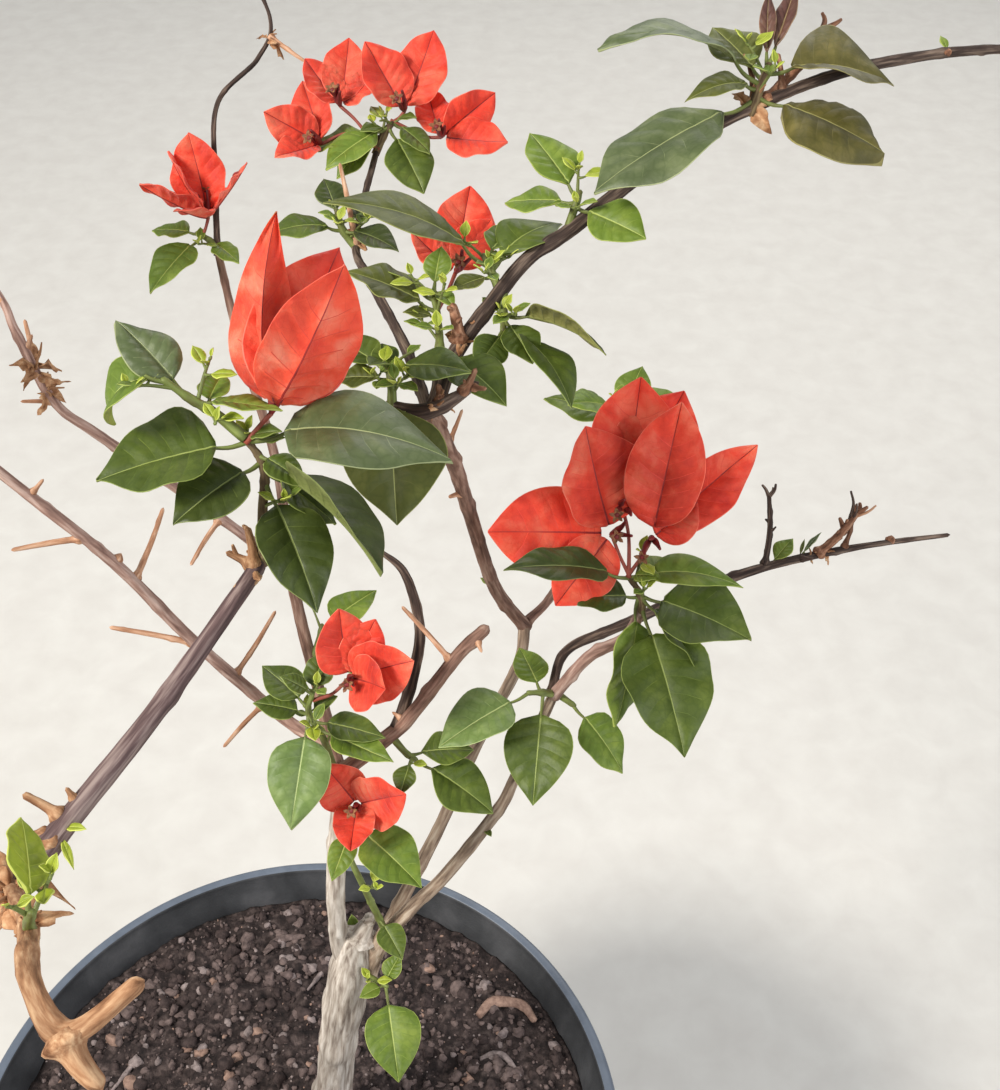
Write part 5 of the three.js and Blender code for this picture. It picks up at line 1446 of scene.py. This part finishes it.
soil_pile = Pile("soil_bed", "potting_soil", ["soil"])
soil_pile.stands_for.append("soil")
SOIL_SIDES = 300
SOIL_STEPS = 92
SOIL_MIDDLE = 2.0
angle = circle(SOIL_SIDES)
reach = np.linspace(SOIL_EDGE, SOIL_MIDDLE, SOIL_STEPS)[:, None]
top_x, top_y = reach * np.cos(angle), reach * np.sin(angle)
top = np.stack([top_x, top_y, soil_height(top_x, top_y)], axis=-1)
base_radii = [20.0, inner_radius(FLOOR + GAP) - GAP]
base = [np.stack([r * np.cos(angle), r * np.sin(angle), np.full(SOIL_SIDES, FLOOR + GAP)], axis=-1) for r in base_radii]
rings = np.concatenate([base, top])
middles = [[0, 0, FLOOR + GAP], [0, 0, float(rings[-1, :, 2].mean())]]
soil_pile.add(np.concatenate([rings.reshape(-1, 3), middles]), tube_faces(len(rings), SOIL_SIDES), "soil")
soil_pile.build()

GOLD = (1 + math.sqrt(5)) / 2
# The 12 corners of a ball of 20 faces
CORNERS = unit(np.array([[0, 1, GOLD], [0, 1, -GOLD], [0, -1, GOLD], [0, -1, -GOLD], [1, GOLD, 0], [1, -GOLD, 0],
                         [-1, GOLD, 0], [-1, -GOLD, 0], [GOLD, 0, 1], [GOLD, 0, -1], [-GOLD, 0, 1], [-GOLD, 0, -1]]))


def ball_faces():
    """The 20 faces of a ball of 12 corners, each turned outwards"""
    faces = []
    edge = min(np.linalg.norm(CORNERS[0] - other) for other in CORNERS[1:]) * 1.01
    for a, b, c in ((a, b, c) for a in range(12) for b in range(a + 1, 12) for c in range(b + 1, 12)):
        three = CORNERS[[a, b, c]]
        if max(np.linalg.norm(three - np.roll(three, 1, axis=0), axis=1)) < edge:
            outwards = np.dot(np.cross(three[1] - three[0], three[2] - three[0]), three[0]) > 0
            faces.append((a, b, c) if outwards else (a, c, b))
    return faces


def split_ball(points, faces):
    """Each face in four, with the new corners pushed out to the ball"""
    points, halves, finer = list(points), {}, []

    def half(a, b):
        key = (min(a, b), max(a, b))
        if key not in halves:
            halves[key] = len(points)
            points.append(unit(points[a] + points[b]))
        return halves[key]

    for a, b, c in faces:
        ab, bc, ca = half(a, b), half(b, c), half(c, a)
        finer += [(a, ab, ca), (b, bc, ab), (c, ca, bc), (ab, bc, ca)]
    return np.array(points), finer


rough_ball = (CORNERS, ball_faces())
fine_ball = split_ball(*rough_ball)
CRUMB_LOOKS = ["crumb_dark", "crumb_mid", "crumb_grey", "crumb_tan"]
crumb_pile, grit_pile = (Pile(name, "potting_soil", CRUMB_LOOKS) for name in ("soil_crumbs", "soil_grit"))
CRUMB_SEED = 4127
chance = np.random.default_rng(CRUMB_SEED)


def crumb(pile, x, y, size, ball, mark):
    """A lumpy ball, stretched and turned by chance, pressed a little into the soil and kept off the pot"""
    points, faces = ball
    stretch = chance.uniform(0.65, 1.25, 3)
    lumps = 1 + 0.5 * bumps(points * 2 + chance.uniform(0, 90, 3), 1.1, 3)
    spin = np.linalg.qr(chance.normal(size=(3, 3)))[0]
    spin *= np.sign(np.linalg.det(spin))
    shaped = (points * lumps[:, None] * stretch * size / 2) @ spin.T
    ground = float(soil_height(np.array(x), np.array(y)))
    placed = shaped + [x, y, ground - size * CRUMB_SINK]
    limit = inner_radius(SOIL_LEVEL) - 1
    far = np.hypot(placed[:, 0], placed[:, 1])
    placed[:, :2] *= np.minimum(1, limit / np.maximum(far, 1))[:, None]
    quads = np.concatenate([np.array(faces), np.full((len(faces), 1), -1)], axis=1)
    pile.add(placed, quads, mark)


def soil_place(spare):
    """A place on the soil, evenly likely all over, that far from its edge"""
    reach, turn = (SOIL_EDGE - spare) * math.sqrt(chance.random()), 2 * math.pi * chance.random()
    return reach * math.cos(turn), reach * math.sin(turn)


CRUMB_SHARES = [0.46, 0.4, 0.1, 0.04]
CRUMB_SINK = 0.12
# Crumbs: pile, how many, smallest and largest in mm, ball
CRUMB_KINDS = ((crumb_pile, 1900, 3.2, 8.0, fine_ball), (grit_pile, 5200, 1.2, 3.4, rough_ball))
for pile, count, low, high, ball in CRUMB_KINDS:
    for _ in range(count):
        size = low + (high - low) * chance.random() ** 2.4
        mark = CRUMB_LOOKS[int(chance.choice(4, p=CRUMB_SHARES))]
        crumb(pile, *soil_place(size), size, ball, mark)

# Larger bits on the soil, each a bent stick: route in plan, half width, height share, look
SOIL_BITS = [
    [[[86, 69], [92, 77], [100, 78], [109, 76], [115, 68]], 3.2, 0.5, "crumb_tan"],
    [[[87, 47], [94, 50], [100, 48], [107, 38]], 1.9, 0.6, "crumb_grey"],
    [[[8, 106], [2, 96], [-4, 85]], 1.3, 1.0, "crumb_grey"],
    [[[56, 99], [62, 97]], 2.8, 0.7, "crumb_tan"],
    [[[-70, -20], [-58, -8], [-50, -9]], 1.4, 1.0, "crumb_tan"],
    [[[-96, 30], [-88, 44], [-84, 58]], 1.5, 0.8, "crumb_grey"],
    [[[20, -90], [34, -84], [47, -86]], 1.6, 0.8, "crumb_tan"],
    [[[-30, 108], [-22, 116], [-9, 118]], 2.4, 0.5, "crumb_mid"],
    [[[78, -38], [84, -50], [82, -60]], 2.2, 0.6, "crumb_grey"],
]
BIT_SIDES = 10
for number, (plan, wide, flat, look) in enumerate(SOIL_BITS):
    plan = np.array(plan, float)
    heights = soil_height(plan[:, 0], plan[:, 1]) + wide * 0.5 - POT_HEIGHT
    line = Axis(np.column_stack([plan, heights]), [wide * 0.6, wide, wide * 0.9, wide * 0.5], 1.2)
    swell = bark_swell(line, np.full(len(line.share), wide), BIT_SIDES, 0.2, 15, number + 900)
    tube(crumb_pile, line, line.thick, BIT_SIDES, look, swell, number)
    crumb_pile.points[-1][:, 2] = (crumb_pile.points[-1][:, 2] - POT_HEIGHT - heights.mean()) * flat \
        + POT_HEIGHT + heights.mean()
crumb_pile.build()
grit_pile.build()


# Floor, light and camera, in metres
FLOOR_HALF_WIDTH = 12.0
LIT_PLACE = (0.05, 0.05, 0.5)


def stage_floor():
    mesh = bpy.data.meshes.new("floor")
    half = FLOOR_HALF_WIDTH
    mesh.from_pydata([(-half, -half, 0), (half, -half, 0), (half, half, 0), (-half, half, 0)], [], [(0, 1, 2, 3)])
    floor = bpy.data.objects.new("floor", mesh)
    bpy.context.scene.collection.objects.link(floor)
    stops = ramp(0.3, 0.7, (214, 210, 203), (222, 219, 212))
    mesh.materials.append(material("floor", stops, 30.0, rough=(0.85, 0.95), specular=0.2))


def soft_light(name, at, size, watts, colour):
    data = bpy.data.lights.new(name, "AREA")
    data.shape = "DISK"
    data.size, data.energy, data.color = size, watts, colour
    lamp = bpy.data.objects.new(name, data)
    lamp.location = at
    lamp.rotation_euler = (Vector(LIT_PLACE) - Vector(at)).to_track_quat("-Z", "Y").to_euler()
    bpy.context.scene.collection.objects.link(lamp)


stage_floor()
soft_light("key_light", (-1.5, -0.9, 2.1), 0.7, 68, (1.0, 0.96, 0.9))
soft_light("fill_light", (1.7, -1.3, 1.4), 1.6, 25, (0.95, 0.96, 1.0))
soft_light("back_light", (0.6, 1.9, 1.7), 1.4, 16, (1.0, 0.97, 0.93))
world = bpy.data.worlds.new("soft_sky")
world.use_nodes = True
world.node_tree.nodes["Background"].inputs["Color"].default_value = (0.86, 0.9, 0.95, 1)
world.node_tree.nodes["Background"].inputs["Strength"].default_value = 0.47
bpy.context.scene.world = world
bpy.context.scene.view_settings.view_transform = "Standard"

# The camera at the photograph's angle: metres, degrees below level, mm
CAMERA_AT = (0.097, -0.298, 0.930)
CAMERA_DOWN = 42.6
LENS = 46.24
camera_data = bpy.data.cameras.new("camera")
camera_data.lens, camera_data.sensor_width, camera_data.sensor_fit = LENS, 36, "AUTO"
camera_data.clip_start, camera_data.clip_end = 0.01, 60
camera = bpy.data.objects.new("camera", camera_data)
camera.location = CAMERA_AT
camera.rotation_euler = (math.radians(90 - CAMERA_DOWN), 0, 0)
bpy.context.scene.collection.objects.link(camera)
bpy.context.scene.camera = camera
